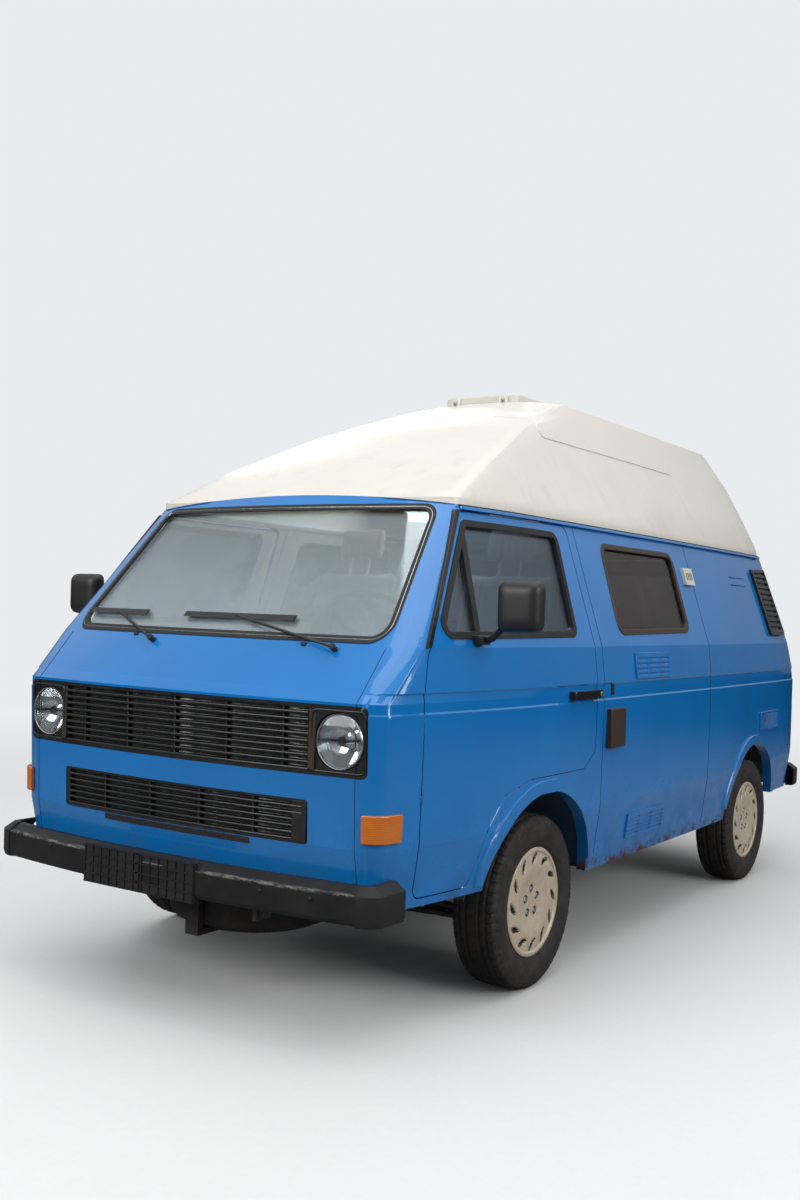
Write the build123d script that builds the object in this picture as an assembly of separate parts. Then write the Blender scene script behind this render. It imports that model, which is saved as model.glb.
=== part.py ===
from build123d import *
import math
import os

# A rear-engined camper van with a steel body and a fibreglass high roof.
# X points to the van's left, Y to its rear, Z up, in millimetres. While it is being built,
# places along the van are measured back from the front axle; each finished piece is moved
# so that the origin is on the ground under the middle of the van.

os.makedirs("parts", exist_ok=True)

# Overall sizes
WHEELBASE = 2461.0
FRONT_OVERHANG = 1090.0
REAR_OVERHANG = 1019.0
TRACK_FRONT = 1585.0
TRACK_REAR = 1570.0

# Wheels and tyres
TYRE_RADIUS = 320.0
TYRE_WIDTH = 185.0
RIM_RADIUS = 184.0
COVER_RADIUS = 200.0
LUG_PCD = 93.0
LUG_COUNT = 5
LUG_RADIUS = 9.0
STUB_RADIUS = 20.0
STUB_CLEARANCE = 0.05

# Body skin
SKIN = 38.0            # whole thickness of a wall or door, outer sheet to trim
DOOR_GAP = 5.0         # seam round a door's outer sheet
DOOR_RELIEF = 11.0     # extra room round the inner box of a door
DOOR_SHEET = 10.0      # depth of a door's outer sheet
SEAT = 0.3             # what two pieces that meet are left apart
GROOVE = 4.0           # depth of the pressed band along the sides

SILL_Z = 372.0
BAND_LOW_Z = 1048.0
BAND_HIGH_Z = 1118.0
NOSE_EDGE_Z = 1085.0
BELT_Z = 1262.0
BODY_TOP_Z = 1820.0
EAVES_Z = 1755.0       # where the roof sits, at the sides
ROOF_CROWN = 48.0      # rise of the body's top edge at the middle

WIDEST = 922.0
TAPER_START_REAR = 1200.0
TAPER_START_FRONT = 150.0
REAR_TAPER_RADIUS = 48800.0

# Plan outlines of the body, one a level, from the sill up:
# z, half width, half width at the nose, nose y, nose bow, nose corner radius, tail y, tail radius
BODY_LEVELS = [
    (SILL_Z, 886, 785, -955, 50, 60, 3310, 120),
    (626, 918, 812, -1003, 55, 70, 3345, 140),
    (BAND_LOW_Z, WIDEST, 818, -1018, 55, 75, 3345, 140),
    (BAND_LOW_Z + 6, WIDEST - GROOVE, 818 - GROOVE, -1018, 55, 75, 3344, 140),
    (NOSE_EDGE_Z, WIDEST - GROOVE, 818 - GROOVE, -1018, 55, 75, 3332, 140),
    (BAND_HIGH_Z - 6, WIDEST - GROOVE - 1, 817 - GROOVE, -998, 63, 75, 3322, 140),
    (BAND_HIGH_Z, WIDEST - 1, 821, -993, 65, 75, 3320, 140),
    (BELT_Z, 904, 828, -898, 107, 70, 3262, 140),
    (BODY_TOP_Z, 728, 694, -408, 76, 40, 3128, 120),
]

# Plan outlines of the high roof, with the same columns
ROOF_LEVELS = [
    (EAVES_Z - 20, 742, 706, -434, 47, 40, 3112, 110),
    (EAVES_Z + 32, 742, 704, -432, 47, 40, 3112, 110),
    (1963, 648, 640, -118, 84, 40, 3132, 110),
    (2157, 543, 539, 325, 92, 40, 3116, 110),
    (2329, 450, 446, 832, 92, 40, 2990, 110),
    (2420, 401, 397, 1130, 90, 40, 2860, 110),
]
ROOF_SKIN = 22.0
ROOF_TOP_Z = 2378.0
ROOF_TOP_EDGE_Z = 2336.0
ROOF_TOP_HALF = 450.0

ORIGIN_SHIFT = Location((0, -(WHEELBASE + REAR_OVERHANG - FRONT_OVERHANG) / 2, 0))
nodes = {}


def keep(name, *shapes):
    """Files a finished node, made of one or more solids that don't touch."""
    solids = [s for shape in shapes for s in shape.solids()]
    nodes[name] = solids


def box(x0, x1, y0, y1, z0, z1):
    return Box(x1 - x0, y1 - y0, z1 - z0, align=(Align.MIN,) * 3).moved(Location((x0, y0, z0)))


def mirrored(shape):
    """The same piece on the other side of the van."""
    return mirror(shape, about=Plane.YZ)


def side_face(points, radius=0.0):
    """A face in the side view, from (y, z) corners, all rounded alike or each by its own radius."""
    corners = [Vector(0, y, z) for y, z in points]
    if radius:
        wire = Wire(FilletPolyline(*corners, radius=radius, close=True).edges())
    else:
        wire = Wire(Polyline(*corners, close=True).edges())
    return Face(wire)


def side_prism(points, x0, x1, radius=0.0):
    face = side_face(points, radius).moved(Location((x0, 0, 0)))
    solid = Solid.extrude(face, Vector(x1 - x0, 0, 0))
    return Part() + solid


def front_prism(points, y0, y1, radius=0.0):
    """A bar along the van whose section is drawn by (x, z) corners."""
    corners = [Vector(x, y0, z) for x, z in points]
    if radius:
        wire = Wire(FilletPolyline(*corners, radius=radius, close=True).edges())
    else:
        wire = Wire(Polyline(*corners, close=True).edges())
    return Part() + Solid.extrude(Face(wire), Vector(0, y1 - y0, 0))


def tube(points, radius, bend):
    """A round bar along straight runs with rounded bends."""
    if len(points) == 2:
        path = Wire([Line(*points)])
    else:
        path = Wire(FilletPolyline(*points, radius=bend).edges())
    start = path @ 0
    circle = Plane(origin=start, z_dir=path % 0) * Circle(radius)
    return sweep(circle, path=path)


def rod(start, end, radius):
    """A round bar between two points."""
    a, b = Vector(*start), Vector(*end)
    return Part() + Solid.make_cylinder(radius, (b - a).length, Plane(origin=a, z_dir=b - a))


def plan_face(level, inset=0.0):
    """One plan outline: bowed nose, sides that taper to both ends, bowed tail, round corners."""
    z, half, nose_half, nose_y, bow, nose_r, tail_y, tail_r = level
    half, nose_half = half - inset, nose_half - inset
    nose_y, tail_y = nose_y + inset, tail_y - inset
    corner_y = nose_y + bow
    tail_half = half - (tail_y - TAPER_START_REAR) ** 2 / (2 * REAR_TAPER_RADIUS)
    tail_bow = 30.0
    tail_corner_y = tail_y - tail_bow
    flat_end = TAPER_START_REAR + 150
    front_start = min(max(TAPER_START_FRONT, corner_y + 250), flat_end - 50)

    def side(sign):
        front_mid = (sign * (half - (half - nose_half) / 4), (front_start + corner_y) / 2)
        rear_mid_y = (TAPER_START_REAR + tail_corner_y) / 2
        rear_mid = (sign * (half - (half - tail_half) / 4), rear_mid_y)
        first = ThreePointArc((sign * nose_half, corner_y), front_mid, (sign * half, front_start))
        flat = Line((sign * half, front_start), (sign * half, flat_end))
        last = ThreePointArc((sign * half, flat_end), rear_mid,
                             (sign * tail_half, tail_corner_y))
        return [first, flat, last]

    nose = ThreePointArc((-nose_half, corner_y), (0, nose_y), (nose_half, corner_y))
    tail = ThreePointArc((tail_half, tail_corner_y), (0, tail_y), (-tail_half, tail_corner_y))
    edges = [nose] + side(1) + [tail] + side(-1)
    face = Face(Wire(edges))
    if face.normal_at().Z < 0:
        face = -face
    by_y = face.vertices().sort_by(Axis.Y)
    front_r = max(nose_r - inset / 2, 8.0)
    rear_r = max(tail_r - inset / 2, 8.0)
    face = face.fillet_2d(front_r, by_y[:2])
    by_y = face.vertices().sort_by(Axis.Y)
    face = face.fillet_2d(rear_r, by_y[-2:])
    return face.moved(Location((0, 0, z)))


def stacked(levels, inset):
    """Lofts a body between its plan outlines, span by span."""
    faces = [plan_face(level, inset) for level in levels]
    whole = None
    for i in range(len(faces) - 1):
        piece = loft([faces[i], faces[i + 1]], ruled=True)
        whole = piece if whole is None else whole + piece
    return whole


def crown_prism(edge_z, middle_z, half, y0, y1, depth):
    """Everything under a crowned surface that runs along the van."""
    arc = ThreePointArc((-half, y0, edge_z), (0, y0, middle_z), (half, y0, edge_z))
    base = edge_z - depth
    reach = half + 400
    rest = Polyline((half, y0, edge_z), (reach, y0, edge_z), (reach, y0, base),
                    (-reach, y0, base), (-reach, y0, edge_z), (-half, y0, edge_z))
    face = Face(Wire([arc] + list(rest.edges())))
    return Part() + Solid.extrude(face, Vector(0, y1 - y0, 0))


def grown(points, amount, radius):
    """A side-view face, its corners rounded, made larger or smaller all round."""
    face = side_face(points, radius)
    return Face(face.outer_wire().offset_2d(amount, Kind.ARC)) if amount else face


def side_cut(points, amount, radius, x0=150.0, x1=1250.0):
    face = grown(points, amount, radius).moved(Location((x0, 0, 0)))
    return Part() + Solid.extrude(face, Vector(x1 - x0, 0, 0))


def end_cut(points, amount, radius, y0, y1):
    """A bar along the van from a front-view outline, made larger or smaller all round."""
    corners = [Vector(x, y0, z) for x, z in points]
    wire = Wire(FilletPolyline(*corners, radius=radius, close=True).edges())
    if amount:
        wire = wire.offset_2d(amount, Kind.ARC)
    return Part() + Solid.extrude(Face(wire), Vector(0, y1 - y0, 0))


def layer(first, last, low, high):
    """Part of the body's skin between two depths, over some of its levels."""
    rows = BODY_LEVELS[first:last + 1]
    return stacked(rows, low) - stacked(rows, high)


# The body form, whole and cut to its crowned top edge
body_top = crown_prism(EAVES_Z, EAVES_Z + ROOF_CROWN, 760, -1300, 3700, 1600)
form = stacked(BODY_LEVELS, 0) & body_top
core_levels = [BODY_LEVELS[i] for i in (0, 1, 2, 7, 8)]
form_sheet = stacked(core_levels, DOOR_SHEET)
form_inner = stacked(core_levels, SKIN)
shell = form - form_inner
END_SILL_Z = 425.0       # lower edge of the body ahead of and behind the wheels
for y0, y1 in ((-1300, -300), (WHEELBASE + 300, 3700)):
    shell = shell - box(-1300, 1300, y0, y1, 0, END_SILL_Z)
UPPER_SPAN = (7, 8)      # rows of BODY_LEVELS that the windows lie on
BELT_SPAN = (6, 7)       # rows just below the windows

# Door and window outlines in the side view, as (y, z) corners
DOOR_REAR_Y = 400.0
DOOR_TOP_Z = 1741.0
DOOR_OUTLINE = [(-762, 450), (-478, 450), (-392, 640), (-300, 742), (-120, 784), (300, 786),
                (DOOR_REAR_Y, 850), (DOOR_REAR_Y, DOOR_TOP_Z), (-372, DOOR_TOP_Z),
                (-735, 1240), (-762, 1120)]
DOOR_WINDOW = [(-680, 1290), (262, 1298), (300, 1708), (-372, 1708)]
QUARTER_BAR = [(-470, 1270), (-442, 1270), (-362, 1730), (-390, 1730)]
CAMPER_WINDOW = [(660, 1305), (1492, 1318), (1510, 1692), (692, 1692)]
SLIDING_DOOR = [(446, 440), (1500, 440), (1500, DOOR_TOP_Z), (446, DOOR_TOP_Z)]
SLIDING_WINDOW = [(560, 1305), (1390, 1305), (1380, 1692), (572, 1692)]
QUARTER_WINDOW = [(1640, 1305), (2560, 1305), (2500, 1692), (1650, 1692)]
ARCH_RADIUS = 414.0
ARCH_TOP_Z = 728.0
ARCH_CENTRE_Z = 318.0
WINDOW_RADIUS = 45.0
RUBBER = 24.0

# Front-view outlines, as (x, z) corners
WINDSCREEN = [(-738, 1268), (738, 1268), (655, 1764), (-655, 1764)]
TAILGATE = [(-676, 905), (676, 905), (596, 1738), (-596, 1738)]
TAILGATE_WINDOW = [(-585, 1300), (585, 1300), (530, 1665), (-530, 1665)]
GRILLE = [(-776, 850), (776, 850), (776, 1076), (-776, 1076)]
LOW_GRILLE = [(-562, 625), (562, 625), (562, 768), (-562, 768)]
NOSE_SEAM_X = 733.0


def arch_cut(axle_y, x0, x1, extra=0.0):
    """The wheel opening: a round arch, flattened on top."""
    round_part = Cylinder(ARCH_RADIUS + extra, x1 - x0, rotation=(0, 90, 0))
    round_part = round_part.moved(Location(((x0 + x1) / 2, axle_y, ARCH_CENTRE_Z)))
    reach = ARCH_RADIUS + extra + 1
    return round_part & box(x0, x1, axle_y - reach, axle_y + reach, 0, ARCH_TOP_Z + extra)


def both(shape):
    return shape + mirrored(shape)


FLARE_WIDTH, FLARE_RISE = 46.0, 9.0
arches = both(arch_cut(0, 560, 1200)) + both(arch_cut(WHEELBASE, 560, 1200))
flare_zone = both(arch_cut(0, 560, 1200, FLARE_WIDTH)) + both(arch_cut(WHEELBASE, 560, 1200, FLARE_WIDTH))
flare_zone = flare_zone & box(-1300, 1300, -600, 3300, END_SILL_Z, 1000)
flares = (stacked(BODY_LEVELS[:3], -FLARE_RISE) - stacked(BODY_LEVELS[:3], 1)) & flare_zone

door_open = side_cut(DOOR_OUTLINE, 0, 40)
doors_open = both(door_open)
glass_layer = layer(*UPPER_SPAN, 10, 15)
rubber_layer = layer(*UPPER_SPAN, -4, 20)
tail_open = end_cut(TAILGATE, 0, 60, 2900, 3700)


def window(points, radius=WINDOW_RADIUS):
    """Cut, rubber and glass of one side window on the left."""
    cut = side_cut(points, 0, radius)
    rubber = rubber_layer & (side_cut(points, -SEAT, radius) - side_cut(points, -RUBBER, radius))
    glass = glass_layer & side_cut(points, -RUBBER - SEAT, radius)
    return cut, rubber, glass


def end_window(points, radius, y0, y1):
    """Cut, rubber and glass of a window in the nose or tail."""
    cut = end_cut(points, 0, radius, y0, y1)
    ring = end_cut(points, -SEAT, radius, y0, y1) - end_cut(points, -RUBBER, radius, y0, y1)
    return cut, rubber_layer & ring, glass_layer & end_cut(points, -RUBBER - SEAT, radius, y0, y1)


# Cab doors, the left one made and mirrored
cut, door_rubber, door_glass = window(DOOR_WINDOW)
door_sheet = (form - form_sheet) & side_cut(DOOR_OUTLINE, -DOOR_GAP, 40)
door_box = (form_sheet - form_inner) & side_cut(DOOR_OUTLINE, -DOOR_GAP - DOOR_RELIEF, 40)
left_door = (door_sheet + door_box) - cut

# Windscreen and tailgate
screen_cut, screen_rubber, screen_glass = end_window(WINDSCREEN, 70, -1200, -300)
tail_cut, tail_rubber, tail_glass = end_window(TAILGATE_WINDOW, 60, 2900, 3700)
tail_sheet = (form - form_sheet) & end_cut(TAILGATE, -DOOR_GAP, 60, 2900, 3700)
tail_box = (form_sheet - form_inner) & end_cut(TAILGATE, -DOOR_GAP - DOOR_RELIEF, 60, 2900, 3700)
tailgate = (tail_sheet + tail_box) - tail_cut

# Fixed side windows
camper_cut, camper_rubber, camper_glass = window(CAMPER_WINDOW, 60)
slide_cut, slide_rubber, slide_glass = window(SLIDING_WINDOW, 60)
quarter_cut, quarter_rubber, quarter_glass = window(QUARTER_WINDOW, 60)

# Body panels
PILLAR_LINE = [(-1300, 300), (-756, 300), (-756, 1120), (-729, 1240), (-366, DOOR_TOP_Z),
               (-366, 1900), (-1300, 1900)]
front_zone = both(side_prism(PILLAR_LINE, 0, 1200)) + box(-1200, 1200, -1300, -380, 300, 447)
nose_zone = box(-NOSE_SEAM_X, NOSE_SEAM_X, -1300, -500, 300, 1258)
grille_cuts = end_cut(GRILLE, 0, 22, -1300, -700) + end_cut(LOW_GRILLE, 0, 12, -1300, -700)
front_shell = shell & front_zone
nose_panel = (front_shell & nose_zone) - grille_cuts
windscreen_frame = front_shell - nose_zone - screen_cut - grille_cuts - doors_open

side_shell = (shell + flares) - front_zone - doors_open - arches - tail_open
VALANCE_X = 640.0
valance_zone = box(-VALANCE_X, VALANCE_X, 3000, 3700, 300, 905) + box(-500, 500, 3000, 3700, 1700, 1900)
rear_panel = side_shell & valance_zone
side_shell = side_shell - valance_zone
left_half = box(0, 1300, -900, 3700, 0, 2000)
left_side = side_shell & left_half
right_side = side_shell - left_half
slide_open = mirrored(side_cut(SLIDING_DOOR, 0, 50))
sliding_door = (form - form_inner) & mirrored(side_cut(SLIDING_DOOR, -DOOR_GAP, 50))
sliding_door = sliding_door - mirrored(slide_cut)
right_side = right_side - slide_open - mirrored(quarter_cut)
SLOT_Y, SLOT_HEIGHT, SLOT_DEPTH = (2312.0, 2591.0), 8.0, 6.0
slot_boxes = [box(600, 1200, *SLOT_Y, z, z + SLOT_HEIGHT).solid() for z in (1566.0, 1606.0)]
left_side = left_side - camper_cut - (layer(*UPPER_SPAN, -1, SLOT_DEPTH) & Compound(slot_boxes))

keep("nose_panel", nose_panel)
keep("windscreen_frame", windscreen_frame)
keep("left_side_panel", left_side)
keep("right_side_panel", right_side)
keep("rear_panel", rear_panel)
keep("sliding_door", sliding_door)
keep("windscreen", screen_glass)
keep("left_door", left_door)
keep("right_door", mirrored(left_door))
keep("tailgate", tailgate)
keep("tailgate_glass", tail_glass)


# Fibreglass high roof: outer form less inner form, standing on the body's crowned top edge
def roof_form(inset):
    top = crown_prism(ROOF_TOP_EDGE_Z - inset, ROOF_TOP_Z - inset, ROOF_TOP_HALF, -1300, 3700, 900)
    return stacked(ROOF_LEVELS, inset) & top


HATCH_HALF = 200.0
HATCH_Y = (990.0, 1390.0)
HATCH_RISE = SEAT
HATCH_DEPTH = 34.0
HATCH_HINGE_Y = HATCH_Y[0] - 12
HATCH_HINGE_Z = 2392.0
HATCH_PIN_RADIUS = 4.0
seat_cut = crown_prism(EAVES_Z + SEAT, EAVES_Z + ROOF_CROWN + SEAT, 760, -1300, 3700, 400)
high_roof = roof_form(0) - roof_form(ROOF_SKIN) - seat_cut
hatch_open = box(-HATCH_HALF + 25, HATCH_HALF - 25, HATCH_Y[0] + 25, HATCH_Y[1] - 25, 2200, 2500)
EMBOSS_RISE = 4.0
EMBOSS = [(520, 2130), (2039, 2130), (2000, 2275), (620, 2275)]
emboss = (roof_form(-EMBOSS_RISE) - roof_form(1)) & both(side_prism(EMBOSS, 300, 1200, 30))
high_roof = (high_roof + emboss) - hatch_open
lid_base = crown_prism(ROOF_TOP_EDGE_Z + HATCH_RISE, ROOF_TOP_Z + HATCH_RISE, ROOF_TOP_HALF,
                       -1300, 3700, 900)
lid_top_z = ROOF_TOP_Z + HATCH_RISE + HATCH_DEPTH
lid = box(-HATCH_HALF, HATCH_HALF, HATCH_Y[0], HATCH_Y[1], 2300, lid_top_z) - lid_base
lid = fillet(lid.edges().filter_by(Axis.Z), 30)
lid = chamfer(lid.edges().group_by(Axis.Z)[-1], 8)
for x in (-130, 130):
    for side in (-1, 1):
        x0, x1 = sorted((x + side * (12 + SEAT), x + side * 20))
        high_roof = high_roof + box(x0, x1, HATCH_HINGE_Y - 8, HATCH_HINGE_Y + 7, 2350,
                                    HATCH_HINGE_Z + 8)
    high_roof = high_roof + rod((x - 16, HATCH_HINGE_Y, HATCH_HINGE_Z),
                                (x + 16, HATCH_HINGE_Y, HATCH_HINGE_Z), HATCH_PIN_RADIUS)
    ear = rod((x - 12, HATCH_HINGE_Y, HATCH_HINGE_Z), (x + 12, HATCH_HINGE_Y, HATCH_HINGE_Z), 7)
    ear = ear + box(x - 12, x + 12, HATCH_HINGE_Y, HATCH_Y[0] + 1, HATCH_HINGE_Z - 7, HATCH_HINGE_Z + 7)
    bore = rod((x - 20, HATCH_HINGE_Y, HATCH_HINGE_Z), (x + 20, HATCH_HINGE_Y, HATCH_HINGE_Z),
               HATCH_PIN_RADIUS + STUB_CLEARANCE)
    lid = (lid + ear) - bore

# Gutters over the doors and the drip mouldings down the windscreen pillars
gutter_band = box(600, 800, -362, 2985, EAVES_Z - 12, EAVES_Z)
rail = layer(*UPPER_SPAN, -15, -SEAT) & gutter_band
MOULDING_LINE = [(-764, 1122), (-738, 1243), (-374, DOOR_TOP_Z), (-394, DOOR_TOP_Z),
                 (-758, 1243), (-784, 1122)]
moulding = layer(*UPPER_SPAN, -9, -SEAT) & side_prism(MOULDING_LINE, 300, 1200)
drip_rails = rail + moulding

# Grilles, lamps and indicators, all laid on the nose's own surface
GRILLE_HALF = 560.0
SLAT_COUNT, LOW_SLAT_COUNT = 9, 6
LAMP_X, LAMP_Z, LAMP_RADIUS = 671.0, 962.0, 92.0
nose_end = box(-900, 900, -1300, -800, 300, 1300)
nose_rows = [BODY_LEVELS[1], (NOSE_EDGE_Z, WIDEST, 818, -1018, 55, 75, 3345, 140)]
nose_body = stacked(nose_rows, 26) & nose_end
nose_face = (stacked(nose_rows, 2) & nose_end) - nose_body
nose_back = (stacked(nose_rows, 20) & nose_end) - nose_body


def slatted(points, radius, half, z0, z1, count, frame_width, ribs):
    """A grille: frame, closed back, a row of level slats and upright ribs through them."""
    outline = end_cut(points, -SEAT, radius, -1300, -700)
    field = box(-half, half, -1300, -700, z0 + frame_width, z1 - frame_width)
    inside_outline = nose_face & outline
    frame = inside_outline - field
    back = nose_back & outline
    pitch = (z1 - z0 - 2 * frame_width) / count
    bars = [box(-half - 2, half + 2, -1300, -700, z0 + frame_width + i * pitch,
                z0 + frame_width + (i + 0.45) * pitch) for i in range(count)]
    slats = inside_outline & Compound([b.solid() for b in bars])
    uprights = [box(x - RIB_HALF, x + RIB_HALF, -1300, -700, z0, z1) for x in ribs]
    rib_face = (stacked(nose_rows, 5) & nose_end) - nose_body
    return frame + back + slats + (rib_face & Compound([u.solid() for u in uprights]))


RIB_HALF = 4.0
RIB_SPACING = 230.0
upper_grille = slatted(GRILLE, 22, GRILLE_HALF, 850, 1076, SLAT_COUNT, 12,
                       [i * RIB_SPACING for i in (-2, -1, 0, 1, 2)])
low_grille = slatted(LOW_GRILLE, 12, 540, 625, 768, LOW_SLAT_COUNT, 8,
                     [i * RIB_SPACING for i in (-1.5, -0.5, 0.5, 1.5)])
lamp_hole = Cylinder(LAMP_RADIUS, 600, rotation=(90, 0, 0)).moved(Location((LAMP_X, -1000, LAMP_Z)))
upper_grille = upper_grille - both(lamp_hole)
LAMP_Y = -968.0
bowl = Cylinder(LAMP_RADIUS - SEAT, 46, rotation=(90, 0, 0)).moved(Location((LAMP_X, LAMP_Y + 26, LAMP_Z)))
lens = Sphere(260).moved(Location((LAMP_X, LAMP_Y + 242, LAMP_Z)))
lens = lens & Cylinder(LAMP_RADIUS - SEAT, 60, rotation=(90, 0, 0)).moved(
    Location((LAMP_X, LAMP_Y - 27, LAMP_Z)))
headlamp = bowl + lens
indicator = layer(0, 3, -13, -SEAT) & box(764, 1000, -1100, -858, 652, 742)

# Bumpers: a bowed bar with returned ends
BUMPER = (0, 868, 838, -FRONT_OVERHANG, 62, 70, WHEELBASE + REAR_OVERHANG, 90)


def bumper_bar(z0, z1, y0, y1, depth):
    outer = Part() + Solid.extrude(plan_face(BUMPER), Vector(0, 0, z1 - z0))
    inner = Part() + Solid.extrude(plan_face(BUMPER, depth), Vector(0, 0, z1 - z0))
    bar = (outer - inner) & box(-1300, 1300, y0, y1, 0, z1 - z0)
    return bar.moved(Location((0, 0, z0)))


BUMPER_GAP = 4.0
behind_bumpers = stacked(BODY_LEVELS[:2], -BUMPER_GAP)
front_bumper = bumper_bar(411, 532, -1200, -868, 62) - behind_bumpers
rear_bumper = bumper_bar(418, 540, 3318, 3600, 58) - behind_bumpers
for x in (-520, 470):
    front_bumper = front_bumper + (box(x, x + 50, -1062, -930, 440, 505) - form)
    rear_bumper = rear_bumper + (box(x, x + 50, 3240, 3440, 445, 505) - form)
PLATE = (-330.0, 190.0)
plate_board = box(PLATE[0], PLATE[1], -1094, -1070, 398, 528)
PLATE_HOLE_SPACING, PLATE_HOLE_RADIUS = 300.0, 3.0
plate_x = (PLATE[0] + PLATE[1]) / 2
for x in (plate_x - PLATE_HOLE_SPACING / 2, plate_x + PLATE_HOLE_SPACING / 2):
    hole = Cylinder(PLATE_HOLE_RADIUS, 90, rotation=(90, 0, 0)).moved(Location((x, -1080, 463)))
    plate_board = plate_board - hole
    front_bumper = front_bumper - hole
front_bumper = front_bumper + plate_board

# Tail lamps on the corners beside the valance
tail_lamp = layer(1, 4, -10, -SEAT) & box(690, 860, 3200, 3400, 640, 905)

keep("high_roof", high_roof)
keep("roof_hatch", lid)
keep("drip_rails", drip_rails, mirrored(drip_rails))
keep("upper_grille", upper_grille)
keep("lower_grille", low_grille)
keep("headlamps", headlamp, mirrored(headlamp))
keep("front_indicators", indicator, mirrored(indicator))
keep("front_bumper", front_bumper)
keep("rear_bumper", rear_bumper)
keep("tail_lamps", tail_lamp, mirrored(tail_lamp))
keep("side_windows", camper_glass, mirrored(slide_glass), mirrored(quarter_glass))
keep("window_rubbers", camper_rubber, mirrored(slide_rubber), mirrored(quarter_rubber),
     screen_rubber)
keep("left_door_glass", door_glass)
keep("right_door_glass", mirrored(door_glass))


# Hinges hidden in the seams: short barrels, by turns on the body and on what opens
BARREL_RADIUS = 2.2
BARREL_LENGTH = 30.0
DOOR_HINGE = (852.0, -762 + DOOR_GAP / 2)
TAIL_HINGE = (3149.0, 1738 - DOOR_GAP / 2)


def barrels(axis_point, starts, edge):
    """Body-side and door-side barrels on one hinge line, each with its leaf to its own edge."""
    fixed, moving = Part(), Part()
    for start in starts:
        for on_door, offset in ((False, 0.0), (True, BARREL_LENGTH + SEAT)):
            a = axis_point(start + offset)
            b = axis_point(start + offset + BARREL_LENGTH)
            piece = rod(a, b, BARREL_RADIUS) + edge(a, b, on_door)
            if on_door:
                moving = moving + piece
            else:
                fixed = fixed + piece
    return fixed, moving


def door_leaf(a, b, on_door):
    x, y = DOOR_HINGE
    y0, y1 = (y, y + DOOR_GAP / 2 + 3) if on_door else (y - DOOR_GAP / 2 - 3, y)
    return box(x - 12, x - 0.5, y0, y1, a[2], b[2])


def tail_leaf(a, b, on_door):
    y, z = TAIL_HINGE
    z0, z1 = (z - DOOR_GAP / 2 - 3, z) if on_door else (z, z + DOOR_GAP / 2 + 3)
    return box(a[0], b[0], y - 7, y - 1, z0, z1)


door_fixed, door_moving = barrels(lambda z: (*DOOR_HINGE, z), (760, 980), door_leaf)
tail_fixed, tail_moving = barrels(lambda x: (x, *TAIL_HINGE), (-160, 100), tail_leaf)
nodes["windscreen_frame"] = (windscreen_frame + both(door_fixed)).solids()
nodes["left_door"] = (left_door + door_moving).solids()
nodes["right_door"] = mirrored(left_door + door_moving).solids()
nodes["rear_panel"] = (rear_panel + tail_fixed).solids()
nodes["tailgate"] = (tailgate + tail_moving).solids()

# Things on the skin: door handles and mirrors, tailgate handle, vents, flue and wipers
on_skin = layer(*UPPER_SPAN, -18, -SEAT)
QUARTER_BAR_CUT = side_prism(QUARTER_BAR, 300, 1200)
quarter_bar = layer(*UPPER_SPAN, -2, 10 - SEAT) & (QUARTER_BAR_CUT & side_cut(DOOR_WINDOW, -RUBBER, WINDOW_RADIUS))
handle = box(900, 948, 150, 396, 1062, 1094) - box(900, 934, 200, 350, 1050, 1100)
handle = handle - form
mirror_base = box(850, 900, -492, -430, 1270, 1306) - form
mirror_arm = rod((880, -462, 1290), (975, -480, 1330), 9)
mirror_shell = front_prism([(955, 1315), (1118, 1315), (1118, 1490), (955, 1490)], -520, -462, 28)
door_mirror = mirror_base + mirror_arm + mirror_shell
door_fittings = [door_rubber, quarter_bar, handle, door_mirror]
keep("left_door_fittings", *door_fittings)
keep("right_door_fittings", *[mirrored(f) for f in door_fittings])

tail_handle = box(-70, 70, 3300, 3400, 1010, 1040) - stacked(BODY_LEVELS[1:4], 0)
keep("tailgate_fittings", tail_rubber, tail_handle)

INTAKE = [(2733, 1671), (2987, 1680), (3063, 1309), (2785, 1308)]
INTAKE_SLATS = 11
intake_frame = side_cut(INTAKE, 0, 18) - side_cut(INTAKE, -18, 12)
intake = on_skin & intake_frame
intake_back = layer(*UPPER_SPAN, -6, -SEAT) & side_cut(INTAKE, -10, 12)
pitch = (1660 - 1325) / INTAKE_SLATS
slat_boxes = [box(300, 1200, 2740, 3060, 1325 + i * pitch, 1325 + (i + 0.5) * pitch)
              for i in range(INTAKE_SLATS)]
intake_slats = (layer(*UPPER_SPAN, -16, -5) & side_cut(INTAKE, -10, 12)) & Compound(
    [b.solid() for b in slat_boxes])
intake = intake + intake_back + intake_slats
cream_vent = on_skin & box(300, 1200, 1581, 1694, 1546, 1627)
for i in range(4):
    y = 1604 + i * 22
    cream_vent = cream_vent - box(300, 1200, y - 5, y + 5, 1570, 1605)
flue = (box(880, 944, 492, 638, 855, 1012) - box(930, 950, 515, 615, 875, 940)) - form
keep("side_vents", intake, mirrored(intake), cream_vent, flue)

# Louvred vents on the left side: rows of BODY_LEVELS below and above, y from and to,
# z from and to, columns, blades in a column
LOUVRES = [
    (6, 7, 781, 1160, 1125, 1234, 3, 4),
    (0, 1, 757, 1154, 453, 558, 3, 5),
    (1, 2, 2535, 2880, 790, 892, 1, 6),
]
LOUVRE_RISE = 8.0
LOUVRE_FRAME = 12.0
LOUVRE_BACK = 3.0


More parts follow.
